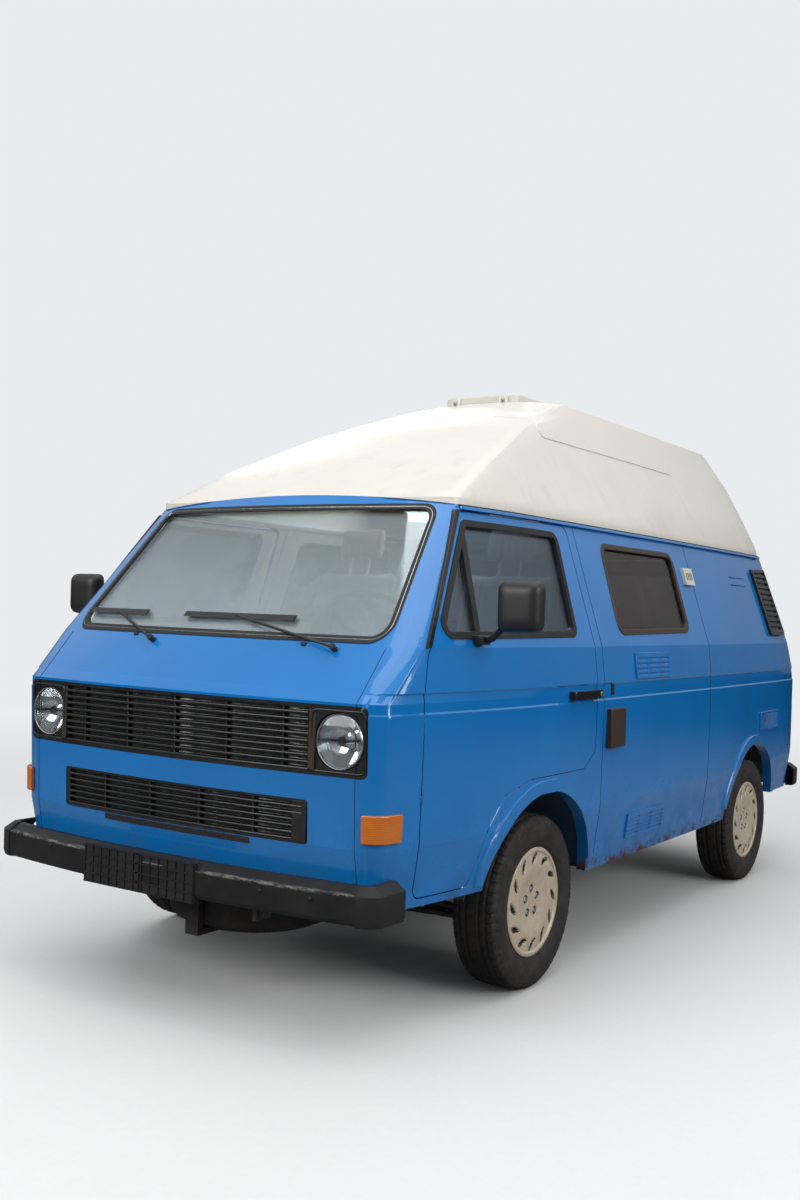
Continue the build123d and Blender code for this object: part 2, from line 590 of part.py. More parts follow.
def louvre_panel(first, last, y0, y1, z0, z1, columns, blades):
    """A framed vent laid on the panel, with columns of level blades in front of its back."""
    width = (y1 - y0 - (columns + 1) * LOUVRE_FRAME) / columns
    pitch = (z1 - z0 - 2 * LOUVRE_FRAME) / blades
    gaps = []
    for column in range(columns):
        y = y0 + LOUVRE_FRAME + column * (width + LOUVRE_FRAME)
        for blade in range(blades):
            z = z0 + LOUVRE_FRAME + blade * pitch
            gaps.append(box(600, 1200, y, y + width, z, z + 0.5 * pitch).solid())
    plate = layer(first, last, -LOUVRE_RISE, -SEAT) & box(600, 1200, y0, y1, z0, z1)
    return plate - (layer(first, last, -LOUVRE_RISE - 2, -LOUVRE_BACK) & Compound(gaps))


keep("side_louvres", *[louvre_panel(*row) for row in LOUVRES])


def screen_y(x, z):
    """Where the body's nose lies above the belt line, at a place across and a height."""
    low, high = BODY_LEVELS[7], BODY_LEVELS[8]
    t = (z - low[0]) / (high[0] - low[0])
    nose_half, nose_y, bow = [low[i] + (high[i] - low[i]) * t for i in (2, 3, 4)]
    return nose_y + bow * (x / nose_half) ** 2


WIPER_Z, BLADE_Z = 1248.0, 1343.0
wiper_layer = layer(*UPPER_SPAN, -9, 10 - SEAT)
wiper_sets = []
for pivot_x, blade_x0, blade_x1 in ((-219, -692, -340), (561, -136, 352)):
    blade = wiper_layer & box(blade_x0, blade_x1, -1000, -500, BLADE_Z - 9, BLADE_Z + 9)
    middle = (blade_x0 + blade_x1) / 2
    pivot_y = screen_y(pivot_x, WIPER_Z)
    spindle = Cylinder(11, 40, rotation=(60, 0, 0)).moved(Location((pivot_x, pivot_y - 6, WIPER_Z)))
    arm = tube([(pivot_x, pivot_y - 22, WIPER_Z + 8), (middle, screen_y(middle, BLADE_Z) - 8, BLADE_Z)], 5, 5)
    wiper_sets.append((blade + arm + spindle) - form)
keep("wipers", *wiper_sets)

# Rail and roller arm of the sliding door
rail_band = layer(*BELT_SPAN, -9, -SEAT) & box(-1200, 0, 1512, 2560, 1180, 1206)
rail_slot = layer(*BELT_SPAN, -30, -4) & box(-1200, 0, 1500, 2570, 1188, 1198)
keep("slide_rail", rail_band - rail_slot)
roller_arm = layer(*BELT_SPAN, -14, 2) & box(-1200, 0, 1440, 1490, 1189, 1197)
roller_tip = layer(*BELT_SPAN, -14, -4 - SEAT) & box(-1200, 0, 1489, 1560, 1189, 1197)
nodes["sliding_door"] = (sliding_door + roller_arm + roller_tip).solids()

# Floor: slab, wheel housings, sills, rails and the raised deck over the engine
FLOOR_Z = (452.0, 486.0)
DECK_Z = (846.0, 876.0)
DECK_Y = 2080.0
HOUSE_X = 500.0         # inner wall of a front wheel housing
HOUSE_WALL = 6.0
HOUSE_REACH = ARCH_RADIUS + 16
WALL_X = 868.0          # how far the floor reaches sideways
BAY_X = 604.0           # walls of the engine bay
BEAM_TOP_Z = 371.0
RAIL_X = (330.0, 400.0)
floor_inside = stacked(core_levels, SKIN + SEAT)
door_clear = both(box(792, 900, -764, -474, 440, 500))
slab = box(-WALL_X, WALL_X, -1000, DECK_Y, *FLOOR_Z)
deck = box(-WALL_X, WALL_X, DECK_Y - 20, 3340, *DECK_Z)
bulkhead = box(-WALL_X, WALL_X, DECK_Y - 20, DECK_Y, FLOOR_Z[0], DECK_Z[0] + 1)
bay_walls = both(box(BAY_X, BAY_X + 12, DECK_Y - 1, 3340, FLOOR_Z[0], DECK_Z[0] + 1))
house_outer = arch_cut(0, HOUSE_X, WALL_X, 16)
house_outer = house_outer + box(HOUSE_X, WALL_X, -HOUSE_REACH, HOUSE_REACH, 0, ARCH_CENTRE_Z)
house_inner = arch_cut(0, HOUSE_X + HOUSE_WALL, 1300, 16 - HOUSE_WALL)
house_inner = house_inner + box(HOUSE_X + HOUSE_WALL, 1300, -HOUSE_REACH + HOUSE_WALL,
                                HOUSE_REACH - HOUSE_WALL, -10, ARCH_CENTRE_Z)
housing = (house_outer - house_inner) & box(0, 1300, -900, 900, FLOOR_Z[0] - 60, 1000)
housing = housing - box(HOUSE_X - 10, HOUSE_X + 20, -70, 70, 0, 460)
sill = box(770, 850, 440, 2030, SILL_Z + 4, FLOOR_Z[0] + 1)
rail = box(*RAIL_X, -640, 2060, BEAM_TOP_Z + SEAT, FLOOR_Z[0] + 1)
floor_pan = (slab + deck + bulkhead + bay_walls) - both(house_outer)
floor_pan = (floor_pan + both(housing + sill + rail)) & floor_inside
floor_pan = floor_pan - door_clear
keep("floor_pan", floor_pan)

# Wheels, turning about X through (x, y, TYRE_RADIUS)
WHEEL_HALF = TYRE_WIDTH / 2
BEAD_X, BEAD_RADIUS, FLANGE_RADIUS = 70.0, 173.7, 192.0
SIDEWALL = [(BEAD_X - 0.5, BEAD_RADIUS + SEAT), (BEAD_X - 0.5, FLANGE_RADIUS + 1), (86, 215),
            (WHEEL_HALF, 250), (86, 300), (66, TYRE_RADIUS)]
RIM_OUTER = [(76, FLANGE_RADIUS), (BEAD_X, FLANGE_RADIUS), (BEAD_X, BEAD_RADIUS), (48, BEAD_RADIUS),
             (34, 160)]
RIM_INNER = [(37, 153), (51, 167), (76, 167)]
HUB_FACE_X = 46.0
COVER_X = 80.0
VENT_COUNT = 12
VENT_RADIUS = 163.0


def turned(points):
    """A ring or disc turned about X from (x, r) corners."""
    wire = Wire(Polyline(*[Vector(x, 0, r) for x, r in points], close=True).edges())
    solid = Solid.revolve(Face(wire), 360, Axis.X)
    if solid.volume < 0:
        solid = -solid
    return Part() + solid


def there_and_back(points):
    """An (x, r) outline that is the same on both sides of x = 0."""
    return points + [(-x, r) for x, r in reversed(points)]


bore_radius = STUB_RADIUS + STUB_CLEARANCE
tyre = turned(there_and_back(SIDEWALL))
rim = turned(there_and_back(RIM_OUTER) + [(-x, r) for x, r in reversed(RIM_INNER)] + RIM_INNER)
disc = turned([(HUB_FACE_X - 7, bore_radius), (HUB_FACE_X, bore_radius), (HUB_FACE_X, 150),
               (40, 158), (33, 158), (HUB_FACE_X - 7, 146)])
hub = turned([(-34, bore_radius), (-34, 64), (HUB_FACE_X - 6, 64), (HUB_FACE_X - 6, bore_radius)])
drum = turned([(-34, 63), (-34, 118), (-12, 118), (-12, 63)])
CAP_X = HUB_FACE_X + 14
cover = turned([(CAP_X, 0), (CAP_X + 8, 0), (CAP_X + 7, 60), (COVER_X - 4, 92), (COVER_X + 2, 140),
                (COVER_X + 2, 186), (COVER_X - 1, COVER_RADIUS), (COVER_X - 3.4, COVER_RADIUS),
                (COVER_X - 1.5, 186), (COVER_X - 1.5, 140), (COVER_X - 8, 95), (CAP_X + 1, 66),
                (HUB_FACE_X + SEAT, 66), (HUB_FACE_X + SEAT, 56), (CAP_X, 56)])
steel_wheel = rim + disc + hub + drum
vent = Pos(COVER_X, 0, 0) * Box(20, 14, 40)
vent = fillet(vent.edges().filter_by(Axis.X), 6.5)
vent = vent.rotate(Axis.X, 25).moved(Location((0, 0, VENT_RADIUS)))
vents = [vent.rotate(Axis.X, 360.0 * i / VENT_COUNT).solid() for i in range(VENT_COUNT)]
lug = rod((HUB_FACE_X + 10, 0, LUG_PCD / 2), (HUB_FACE_X + 30, 0, LUG_PCD / 2), LUG_RADIUS)
lugs = [lug.rotate(Axis.X, 360.0 * i / LUG_COUNT).solid() for i in range(LUG_COUNT)]
cover = cover - Compound(vents + lugs)

FRONT_X, REAR_X = TRACK_FRONT / 2, TRACK_REAR / 2
WHEELS = [("front_left", FRONT_X, 0.0), ("front_right", -FRONT_X, 0.0),
          ("rear_left", REAR_X, WHEELBASE), ("rear_right", -REAR_X, WHEELBASE)]
for where, x, y in WHEELS:
    place = Location((x, y, TYRE_RADIUS))
    for what, shapes in (("tyre", [tyre]), ("wheel", [steel_wheel, cover])):
        keep(f"{what}_{where}", *[(s if x > 0 else mirrored(s)).moved(place) for s in shapes])

# Steering knuckles, which turn about an upright axis and carry the stub axles
KINGPIN_X = 712.0
KNUCKLE_Z = (236.0, 404.0)
ARM_LENGTH = 120.0
ARM_Z = 262.0
ARM_HALF = 8.0
STUB_REACH = HUB_FACE_X - 8
stub = rod((KINGPIN_X - 10, 0, TYRE_RADIUS), (FRONT_X + STUB_REACH, 0, TYRE_RADIUS), STUB_RADIUS)
upright = box(KINGPIN_X - 22, KINGPIN_X + 18, -26, 26, *KNUCKLE_Z)
upright = fillet(upright.edges().filter_by(Axis.Z), 8)
steer_arm = box(KINGPIN_X - 20, KINGPIN_X, -ARM_LENGTH - 14, -10, ARM_Z - ARM_HALF, ARM_Z + ARM_HALF)
caliper = box(KINGPIN_X + 6, KINGPIN_X + 30, 60, 112, 270, 380)
caliper_arm = box(KINGPIN_X - 16, KINGPIN_X + 10, 20, 112, 300, 340)
knuckle = upright + stub + steer_arm + caliper + caliper_arm
keep("left_knuckle", knuckle)
keep("right_knuckle", mirrored(knuckle))

# Front suspension: beam, wishbones and struts; the ball joints seat on the knuckles
beam = box(-300, 300, -90, 90, 250, 330) + box(-420, 420, -60, 60, 329, BEAM_TOP_Z)
lower_z, upper_z = KNUCKLE_Z[0] - SEAT - 13, KNUCKLE_Z[1] + SEAT + 11
ball_x = KINGPIN_X - 4
lower_arm = rod((300, -80, 230), (ball_x, -6, lower_z), 12) + rod((300, 80, 230), (ball_x, 6, lower_z), 12)
lower_arm = lower_arm + Cylinder(20, 26).moved(Location((KINGPIN_X, 0, lower_z)))
upper_arm = rod((410, -50, 425), (ball_x, -6, upper_z), 10) + rod((410, 50, 425), (ball_x, 6, upper_z), 10)
upper_arm = upper_arm + Cylinder(18, 22).moved(Location((KINGPIN_X, 0, upper_z)))
strut = rod((446, 0, 225), (446, 0, FLOOR_Z[0] - SEAT), 42)
links = box(280, 330, -95, 95, 216, 251) + box(RAIL_X[1] + SEAT, 440, -65, 65, 360, 440)
keep("front_suspension", beam + both(lower_arm + upper_arm + strut + links))

# Steering: rack housing on the beam, and the rack with its tie rods, sliding in it
RACK_Y = -108.0
RACK_RADIUS = 12.0
EYE_RADIUS = 14.0
RACK_Z = ARM_Z + ARM_HALF + SEAT + 10
EYE_X = KINGPIN_X - 10
housing_tube = rod((-260, RACK_Y, RACK_Z), (260, RACK_Y, RACK_Z), 26)
lug_y = -90 - SEAT
rack_mount = box(-200, 200, RACK_Y, lug_y, RACK_Z - 20, RACK_Z + 20)
rack_bore = rod((-300, RACK_Y, RACK_Z), (300, RACK_Y, RACK_Z), RACK_RADIUS + STUB_CLEARANCE)
housing_tube = housing_tube & box(-300, 300, -300, lug_y, 0, 600)
keep("steering_rack", (housing_tube + rack_mount) - rack_bore)
eye = Cylinder(EYE_RADIUS, 20).moved(Location((EYE_X, RACK_Y, RACK_Z)))
rack_bar = rod((-EYE_X, RACK_Y, RACK_Z), (EYE_X, RACK_Y, RACK_Z), RACK_RADIUS)
rack_bar = rack_bar & box(-800, 800, -300, 0, ARM_Z + ARM_HALF + SEAT, 400)
keep("tie_rods", rack_bar + both(eye))

# Steering wheel and column
COLUMN_TOP = Vector(395, -330, 1330)
COLUMN_TILT = math.radians(32)
COLUMN_FOOT_Y = -660.0
HAND_RADIUS = 205.0
column_dir = Vector(0, math.sin(COLUMN_TILT), math.cos(COLUMN_TILT))
hand_plane = Plane(origin=COLUMN_TOP, z_dir=column_dir)
hand_rim = hand_plane * Torus(HAND_RADIUS, 13)
boss = hand_plane * Cylinder(42, 36)
bars = Box(2 * HAND_RADIUS, 46, 12) + Pos(0, -HAND_RADIUS / 2, 0) * Box(40, HAND_RADIUS, 12)
spokes = (hand_plane * bars) & (hand_plane * Cylinder(HAND_RADIUS, 60))
keep("steering_wheel", hand_rim + boss + spokes)
column_start = COLUMN_TOP - column_dir * (18 + SEAT)
column_bend = column_start - column_dir * ((column_start.Y - COLUMN_FOOT_Y) / column_dir.Y)
column_foot = Vector(COLUMN_TOP.X, COLUMN_FOOT_Y, FLOOR_Z[1] + SEAT)
column = tube([tuple(column_start), tuple(column_bend), tuple(column_foot)], 26, 60)

# Rear axle: trailing arms, stub axles, drive shafts and springs
REAR_CARRIER_X = 632.0
rear_stub = rod((640, WHEELBASE, TYRE_RADIUS), (REAR_X + STUB_REACH, WHEELBASE, TYRE_RADIUS), STUB_RADIUS)
carrier = box(REAR_CARRIER_X, 682, WHEELBASE - 60, WHEELBASE + 60, 250, 390)
arm = tube([(640, WHEELBASE - 50, 320), (600, 2180, 330), (440, 2020, 372)], 26, 60)
arm_seat = box(RAIL_X[1] + SEAT, 480, 1960, 2044, 373, FLOOR_Z[0] - SEAT)
drive_shaft = rod((150, WHEELBASE, 330), (640, WHEELBASE, TYRE_RADIUS), 18)
spring_x = BAY_X - 54
rear_spring = rod((spring_x, 2400, 330), (spring_x, 2400, DECK_Z[0] - SEAT), 48)
spring_pan = box(spring_x - 48, REAR_CARRIER_X + 10, 2352, 2448, 300, 331)
rear_side = rear_stub + carrier + arm + arm_seat + drive_shaft + rear_spring + spring_pan
keep("rear_suspension", rear_side, mirrored(rear_side))

# Engine, gearbox, tank, spare wheel and silencer
ENGINE_Y = (2640.0, 3110.0)
engine = box(-300, 300, *ENGINE_Y, 310, 720) + box(-180, 180, 2700, 3050, 719, 820)
engine = engine + both(box(299, BAY_X - SEAT, 2850, 2900, 470, 510))
gearbox = box(-140, 140, 2300, ENGINE_Y[0] - SEAT, 250, 470)
gearbox = fillet(gearbox.edges().filter_by(Axis.Y), 40)
gearbox = gearbox + box(-60, 60, DECK_Y + SEAT, 2301, 300, 400)
gearbox = gearbox + box(-40, 40, DECK_Y + SEAT, 2140, 390, 640)
tank = box(-290, 290, 480, 1000, 250, FLOOR_Z[0] - SEAT)
tank = fillet(tank.edges().filter_by(Axis.Z), 40)
SPARE_Y, SPARE_Z = -540.0, (245.0, 415.0)
spare = Cylinder(318, SPARE_Z[1] - SPARE_Z[0]).moved(Location((0, SPARE_Y, sum(SPARE_Z) / 2)))
spare = fillet(spare.edges(), 40) - Cylinder(100, 400).moved(Location((0, SPARE_Y, 300)))
tray_z = SPARE_Z[0] - SEAT
tray = Cylinder(240, 20).moved(Location((0, SPARE_Y, tray_z - 10)))
tray = tray + box(-30, 30, -890, -190, tray_z - 20, tray_z)
for y0, y1 in ((-890, -866), (-214, -190)):
    tray = tray + box(-30, 30, y0, y1, tray_z - 20, FLOOR_Z[0] - SEAT)
silencer = box(-290, 290, 3136, 3256, 318, 438)
silencer = fillet(silencer.edges().filter_by(Axis.X), 50)
tail_pipe = tube([(200, 3200, 366), (200, 3330, 350), (200, 3390, 300)], 22, 30)
hangers = [box(x, x + 40, ENGINE_Y[1] + SEAT, 3150, 365, 395) for x in (-220, 180)]
for hanger in hangers:
    silencer = silencer + hanger
keep("engine_block", engine)
keep("gearbox", gearbox)
keep("fuel_tank", tank)
keep("exhaust", silencer + tail_pipe)
keep("spare_wheel", spare, tray)

# Towing eyes, one under the nose and one under the tail
EYE_HOLE_RADIUS = 16.0
EYE_HALF = 7.0
eyes = []
for x, y, z in ((380, -985, 382), (-380, 3300, 400)):
    y0, y1 = (y - 24, y + 55) if y < 0 else (y - 40, y + 24)
    plate = box(x - EYE_HALF, x + EYE_HALF, y0, y1, z - 24, END_SILL_Z - SEAT)
    eyes.append(plate - rod((x - 20, y, z), (x + 20, y, z), EYE_HOLE_RADIUS))
keep("towing_eyes", *eyes)

# Inside: dashboard with the column, seats, kitchen, wardrobe and bench
cabin = stacked(core_levels, SKIN + 8)
DASH = [(-900, 880), (-640, 880), (-560, 1080), (-560, 1190), (-680, 1240), (-900, 1240)]
dash = side_prism(DASH, -760, 760) & cabin
dash = dash + (box(-560, 560, -1100, -880, 1000, 1235) & floor_inside)
dash = dash - (hand_plane * Cylinder(HAND_RADIUS + 40, 120)) + column
keep("dashboard", dash)
SEAT_X = 400.0
seat_parts = []
for x in (-SEAT_X, SEAT_X):
    inner, outer = sorted((math.copysign(190, x), math.copysign(HOUSE_X - 6, x)))
    base = box(inner, outer, 20, 420, FLOOR_Z[1] + SEAT, 901)
    cushion = box(x - 250, x + 250, -60, 430, 900, 1020)
    cushion = fillet(cushion.edges(), 40)
    back = side_prism([(380, 950), (500, 950), (640, 1560), (560, 1580)], x - 240, x + 240, 30)
    head = side_prism([(570, 1600), (640, 1600), (680, 1760), (610, 1770)], x - 130, x + 130, 25)
    posts = [rod((x + dx, 594, 1540), (x + dx, 622, 1640), 8) for dx in (-50, 50)]
    seat_parts.append(base + cushion + back + head + posts[0] + posts[1])
keep("front_seats", *seat_parts)
keep("kitchen_unit", box(430, 840, 700, 1720, FLOOR_Z[1] + SEAT, 1240) & cabin)
keep("wardrobe", box(430, 860, 2560, 3180, DECK_Z[1] + SEAT, 1740) & cabin)
bench_seat = fillet((box(-820, 420, 1740, 2300, DECK_Z[1] + SEAT, 990) & cabin).edges().filter_by(Axis.X), 30)
bench_base = box(-820, 420, 1790, DECK_Y - 20 - SEAT, FLOOR_Z[1] + SEAT, 900) & cabin
bench_back = side_prism([(2260, 900), (2370, 900), (2440, 1330), (2350, 1330)], -780, 420, 30) & cabin
keep("rear_bench", bench_seat + bench_base + bench_back)

for name, solids in nodes.items():
    placed = [s.moved(ORIGIN_SHIFT) for s in solids]
    export_step(Compound(placed) if len(placed) > 1 else placed[0], f"parts/{name}.step")
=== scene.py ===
import math

import bmesh
import bpy
import numpy as np
from mathutils import Matrix, Vector


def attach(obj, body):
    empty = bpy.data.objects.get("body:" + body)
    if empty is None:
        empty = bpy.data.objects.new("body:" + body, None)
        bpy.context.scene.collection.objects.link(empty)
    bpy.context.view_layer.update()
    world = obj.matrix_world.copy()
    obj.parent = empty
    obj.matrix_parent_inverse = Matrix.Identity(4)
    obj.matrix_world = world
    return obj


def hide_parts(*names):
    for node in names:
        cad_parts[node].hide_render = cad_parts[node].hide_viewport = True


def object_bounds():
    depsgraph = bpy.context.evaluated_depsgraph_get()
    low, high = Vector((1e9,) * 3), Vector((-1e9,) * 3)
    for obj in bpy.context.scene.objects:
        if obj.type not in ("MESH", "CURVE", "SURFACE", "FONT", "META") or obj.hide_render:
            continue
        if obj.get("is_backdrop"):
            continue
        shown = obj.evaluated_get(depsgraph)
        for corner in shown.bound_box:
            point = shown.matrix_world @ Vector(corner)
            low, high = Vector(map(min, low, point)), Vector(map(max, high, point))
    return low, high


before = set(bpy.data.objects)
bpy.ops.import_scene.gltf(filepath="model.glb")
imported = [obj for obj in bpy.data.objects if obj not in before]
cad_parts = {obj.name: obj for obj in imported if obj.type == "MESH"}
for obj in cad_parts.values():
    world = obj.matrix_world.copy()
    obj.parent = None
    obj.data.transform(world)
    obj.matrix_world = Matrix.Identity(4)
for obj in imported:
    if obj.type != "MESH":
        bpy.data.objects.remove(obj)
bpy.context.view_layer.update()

scene = bpy.context.scene

# The viewpoint: a camera at a standing person's chest, off the van's front left corner, with a
# lens a little longer than normal. Turn, pitch and roll are in degrees, the place in metres.
CAMERA_PLACE = (2.9676, -5.2971, 1.3845)
CAMERA_TURN, CAMERA_PITCH, CAMERA_ROLL = -33.672, 0.417, 1.920
CAMERA_LENS = 37.07


def camera_matrix(place, turn, pitch, roll):
    """Looks along the turned and pitched forward direction, then rolls about it."""
    t, p, r = (math.radians(a) for a in (turn, pitch, roll))
    forward = Vector((math.sin(t) * math.cos(p), math.cos(t) * math.cos(p), math.sin(p)))
    level = Vector((math.cos(t), -math.sin(t), 0))
    upright = level.cross(forward)
    right = math.cos(r) * level + math.sin(r) * upright
    up = math.cos(r) * upright - math.sin(r) * level
    columns = Matrix((right, up, -forward)).transposed().to_4x4()
    return Matrix.Translation(place) @ columns


camera = bpy.data.objects.new("camera", bpy.data.cameras.new("camera"))
camera.data.lens = CAMERA_LENS
camera.data.sensor_width = 36.0
camera.data.clip_end = 200.0
camera.matrix_world = camera_matrix(CAMERA_PLACE, CAMERA_TURN, CAMERA_PITCH, CAMERA_ROLL)
scene.collection.objects.link(camera)
scene.camera = camera
scene.view_settings.view_transform = "Standard"


class Value:
    """A value that varies over a surface. Arithmetic on it adds Math nodes to its graph."""

    def __init__(self, graph, socket):
        self.graph, self.socket = graph, socket

    def maths(self, operation, *values):
        """A Math node over some values."""
        settings = {"operation": operation}
        return self.graph.node("ShaderNodeMath", settings, dict(enumerate(values)))

    def __add__(self, other):
        return self.maths("ADD", self, other)

    def __sub__(self, other):
        return self.maths("SUBTRACT", self, other)

    def __rsub__(self, other):
        return self.maths("SUBTRACT", other, self)

    def __mul__(self, other):
        return self.maths("MULTIPLY", self, other)

    __radd__ = __add__
    __rmul__ = __mul__

    def most(self, other):
        """The greater of two values."""
        return self.maths("MAXIMUM", self, other)

    def rise(self, low, high):
        """Goes smoothly from 0 at low to 1 at high, or from 1 to 0 where high is the lower one."""
        turn = low > high
        settings = {"interpolation_type": "SMOOTHSTEP"}
        inputs = {"Value": self, "From Min": min(low, high), "From Max": max(low, high)}
        ramp = self.graph.node("ShaderNodeMapRange", settings, inputs)
        return 1 - ramp if turn else ramp


class Graph:
    """A node tree that grows node by node, each giving a Value."""

    def __init__(self, tree):
        self.tree = tree

    def node(self, kind, settings, inputs, output=0):
        """Adds a node: its settings first, then its inputs by name or number."""
        made = self.tree.nodes.new(kind)
        for key, value in settings.items():
            setattr(made, key, value)
        for key, value in inputs.items():
            if isinstance(value, Value):
                self.tree.links.new(value.socket, made.inputs[key])
            else:
                made.inputs[key].default_value = value
        return Value(self, made.outputs[output])

    def seen(self):
        """1 for what the camera sees, straight or through glass, and 0 in mirrors and for light."""
        kinds = ("Is Camera Ray", "Is Transmission Ray")
        straight, through = (self.node("ShaderNodeLightPath", {}, {}, kind) for kind in kinds)
        return straight.most(through)


class Finish(Graph):
    """A material on Object coordinates, built from one Principled shader, with its slot's name."""

    def __init__(self, name, slot=None, **constants):
        self.material = bpy.data.materials.new(name)
        self.material.use_nodes = True
        super().__init__(self.material.node_tree)
        self.slot = slot
        self.shader = self.tree.nodes["Principled BSDF"]
        self.place = self.node("ShaderNodeTexCoord", {}, {}, "Object")
        self.set(**constants)

    def set(self, **inputs):
        """Sets or links the shader's own sockets: Base_Color stands for Base Color."""
        for key, value in inputs.items():
            socket = self.shader.inputs[key.replace("_", " ")]
            if isinstance(value, Value):
                self.tree.links.new(value.socket, socket)
            elif socket.type == "RGBA":
                socket.default_value = (*value, 1.0)
            else:
                socket.default_value = value
        return self

    def axes(self):
        """Object coordinates x, y and z."""
        inputs = {"Vector": self.place}
        return [self.node("ShaderNodeSeparateXYZ", {}, inputs, axis) for axis in "XYZ"]

    def noise(self, scale, detail=3.0, roughness=0.55, stretch=(1, 1, 1), distortion=0.0):
        """Cloudy noise from 0 to 1, about 0.5, stretched along an axis where its factor is small."""
        where = self.node("ShaderNodeMapping", {}, {"Vector": self.place, "Scale": stretch})
        inputs = {"Vector": where, "Scale": scale, "Detail": detail, "Roughness": roughness,
                  "Distortion": distortion}
        return self.node("ShaderNodeTexNoise", {}, inputs)

    def waves(self, direction, scale, distortion=0.0):
        """Even waves from 0 to 1 along an axis."""
        inputs = {"Vector": self.place, "Scale": scale, "Distortion": distortion}
        return self.node("ShaderNodeTexWave", {"bands_direction": direction}, inputs)

    def mix(self, share, first, second):
        """Goes from the first colour to the second."""
        pair = [c if isinstance(c, Value) else (*c, 1.0) for c in (first, second)]
        return self.node("ShaderNodeMix", {"data_type": "RGBA"},
                         {0: share, 6: pair[0], 7: pair[1]}, 2)

    def bump(self, height, distance, strength=1.0, normal=None):
        """Relief of that many metres for a height of 1."""
        inputs = {"Height": height, "Distance": distance, "Strength": strength}
        if normal is not None:
            inputs["Normal"] = normal
        return self.node("ShaderNodeBump", {}, inputs)


def mottled(name, slot, patches, dark, light, grain=None, edges=None, rough=None, **constants):
    """A finish darker and lighter in patches (scale, detail, share, rest of the noise), which may
    have edges, with a fine grain (scale, detail, height, strength). Its roughness may start at a
    value and grow with the patches."""
    made = Finish(name, slot, **constants)
    scale, detail, share, *rest = patches
    cloud = made.noise(scale, detail, *rest)
    made.set(Base_Color=made.mix((cloud.rise(*edges) if edges else cloud) * share, dark, light))
    if rough:
        made.set(Roughness=rough[0] + cloud * rough[1])
    if grain:
        scale, detail, height, strength = grain
        made.set(Normal=made.bump(made.noise(scale, detail), height, strength))
    return made


def polished(name, colour, roughness, scale, spread):
    """Bare metal, duller in patches."""
    made = Finish(name, Base_Color=colour, Metallic=1.0)
    return made.set(Roughness=roughness + made.noise(scale) * spread)


# Floor and light: a pale floor that runs to a pale surround, a wide soft light over the van,
# one at its front and one along its left side, so that paint and glass have something to show.
# The paint mirrors and is lit by a darker ground and a sky that is brighter overhead, and one
# weak lamp under the roof shows the cabin through its windows.
FLOOR_IN_PAINT = (0.17, 0.17, 0.175)
SURROUND = (0.86, 0.88, 0.90)
SKY_STRENGTH = 0.95
FLOOR_REACH, FLOOR_FADES = 60.0, (3.4, 11.0)
BLACK = (0.0, 0.0, 0.0)
SOFT_LIGHTS = [
    # name, place, aimed at, width, height, watts
    ("overhead_light", (1.0, -1.5, 7.5), (0, 0, 0.5), 6.0, 6.0, 190),
    ("front_light", (-2.5, -8.5, 4.2), (0, -1.5, 1.0), 4.0, 2.2, 250),
    ("side_light", (8.5, -1.5, 4.0), (0, 0.5, 1.0), 6.0, 2.5, 260),
    ("back_light", (-6.0, 7.0, 5.0), (0, 0.5, 1.2), 5.0, 3.0, 150),
    ("cabin_light", (0.0, -0.30, 2.05), (0, -1.3, 1.1), 0.9, 0.6, 16),
]

floor_mesh = bpy.data.meshes.new("floor")
corners = [(x * FLOOR_REACH, y * FLOOR_REACH, 0) for x, y in ((-1, -1), (1, -1), (1, 1), (-1, 1))]
floor_mesh.from_pydata(corners, [], [(0, 1, 2, 3)])
floor = bpy.data.objects.new("floor", floor_mesh)
scene.collection.objects.link(floor)
floor_finish = Finish("pale_floor", Roughness=0.6)
grain = floor_finish.noise(35.0, 4.0)
cloud = floor_finish.noise(0.7, 2.0)
tone = floor_finish.mix(grain * 0.35 + cloud * 0.45, (0.76, 0.76, 0.75), (0.90, 0.90, 0.89))
seen = floor_finish.seen()
x, y = floor_finish.axes()[:2]
far = x * x + y * y
far = far.maths("SQRT", far).rise(*FLOOR_FADES)
tone = floor_finish.mix(far, floor_finish.mix(seen, FLOOR_IN_PAINT, tone), BLACK)
haze = floor_finish.mix(far * seen, BLACK, [SKY_STRENGTH * c for c in SURROUND])
floor_finish.set(Base_Color=tone, Normal=floor_finish.bump(grain, 0.002, 0.3), Emission_Strength=1.0,
                 Specular_IOR_Level=0.5 - far * 0.5, Emission_Color=haze)
floor_mesh.materials.append(floor_finish.material)
floor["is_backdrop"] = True

for name, place, target, width, height, watts in SOFT_LIGHTS:
    lamp = bpy.data.lights.new(name, "AREA")
    lamp.shape = "RECTANGLE"
    lamp.size, lamp.size_y, lamp.energy = width, height, watts
    light = bpy.data.objects.new(name, lamp)
    aim = Vector(target) - Vector(place)
    light.matrix_world = Matrix.Translation(place) @ aim.to_track_quat("-Z", "Y").to_matrix().to_4x4()
    scene.collection.objects.link(light)

world = bpy.data.worlds.new("surround")
world.use_nodes = True
scene.world = world
surround = Graph(world.node_tree)
direction = surround.node("ShaderNodeTexCoord", {}, {}, "Generated")
height = surround.node("ShaderNodeSeparateXYZ", {}, {"Vector": direction}, "Z")
in_paint = 0.12 + height.rise(-0.02, 0.55) * 0.60
darker, plain = (surround.node("ShaderNodeBackground", {}, {"Color": (*SURROUND, 1.0), "Strength": strength})
                 for strength in (in_paint, SKY_STRENGTH))
shown = surround.node("ShaderNodeMixShader", {}, {0: surround.seen(), 1: darker, 2: plain})
surround.tree.links.new(shown.socket, surround.tree.nodes["World Output"].inputs[0])

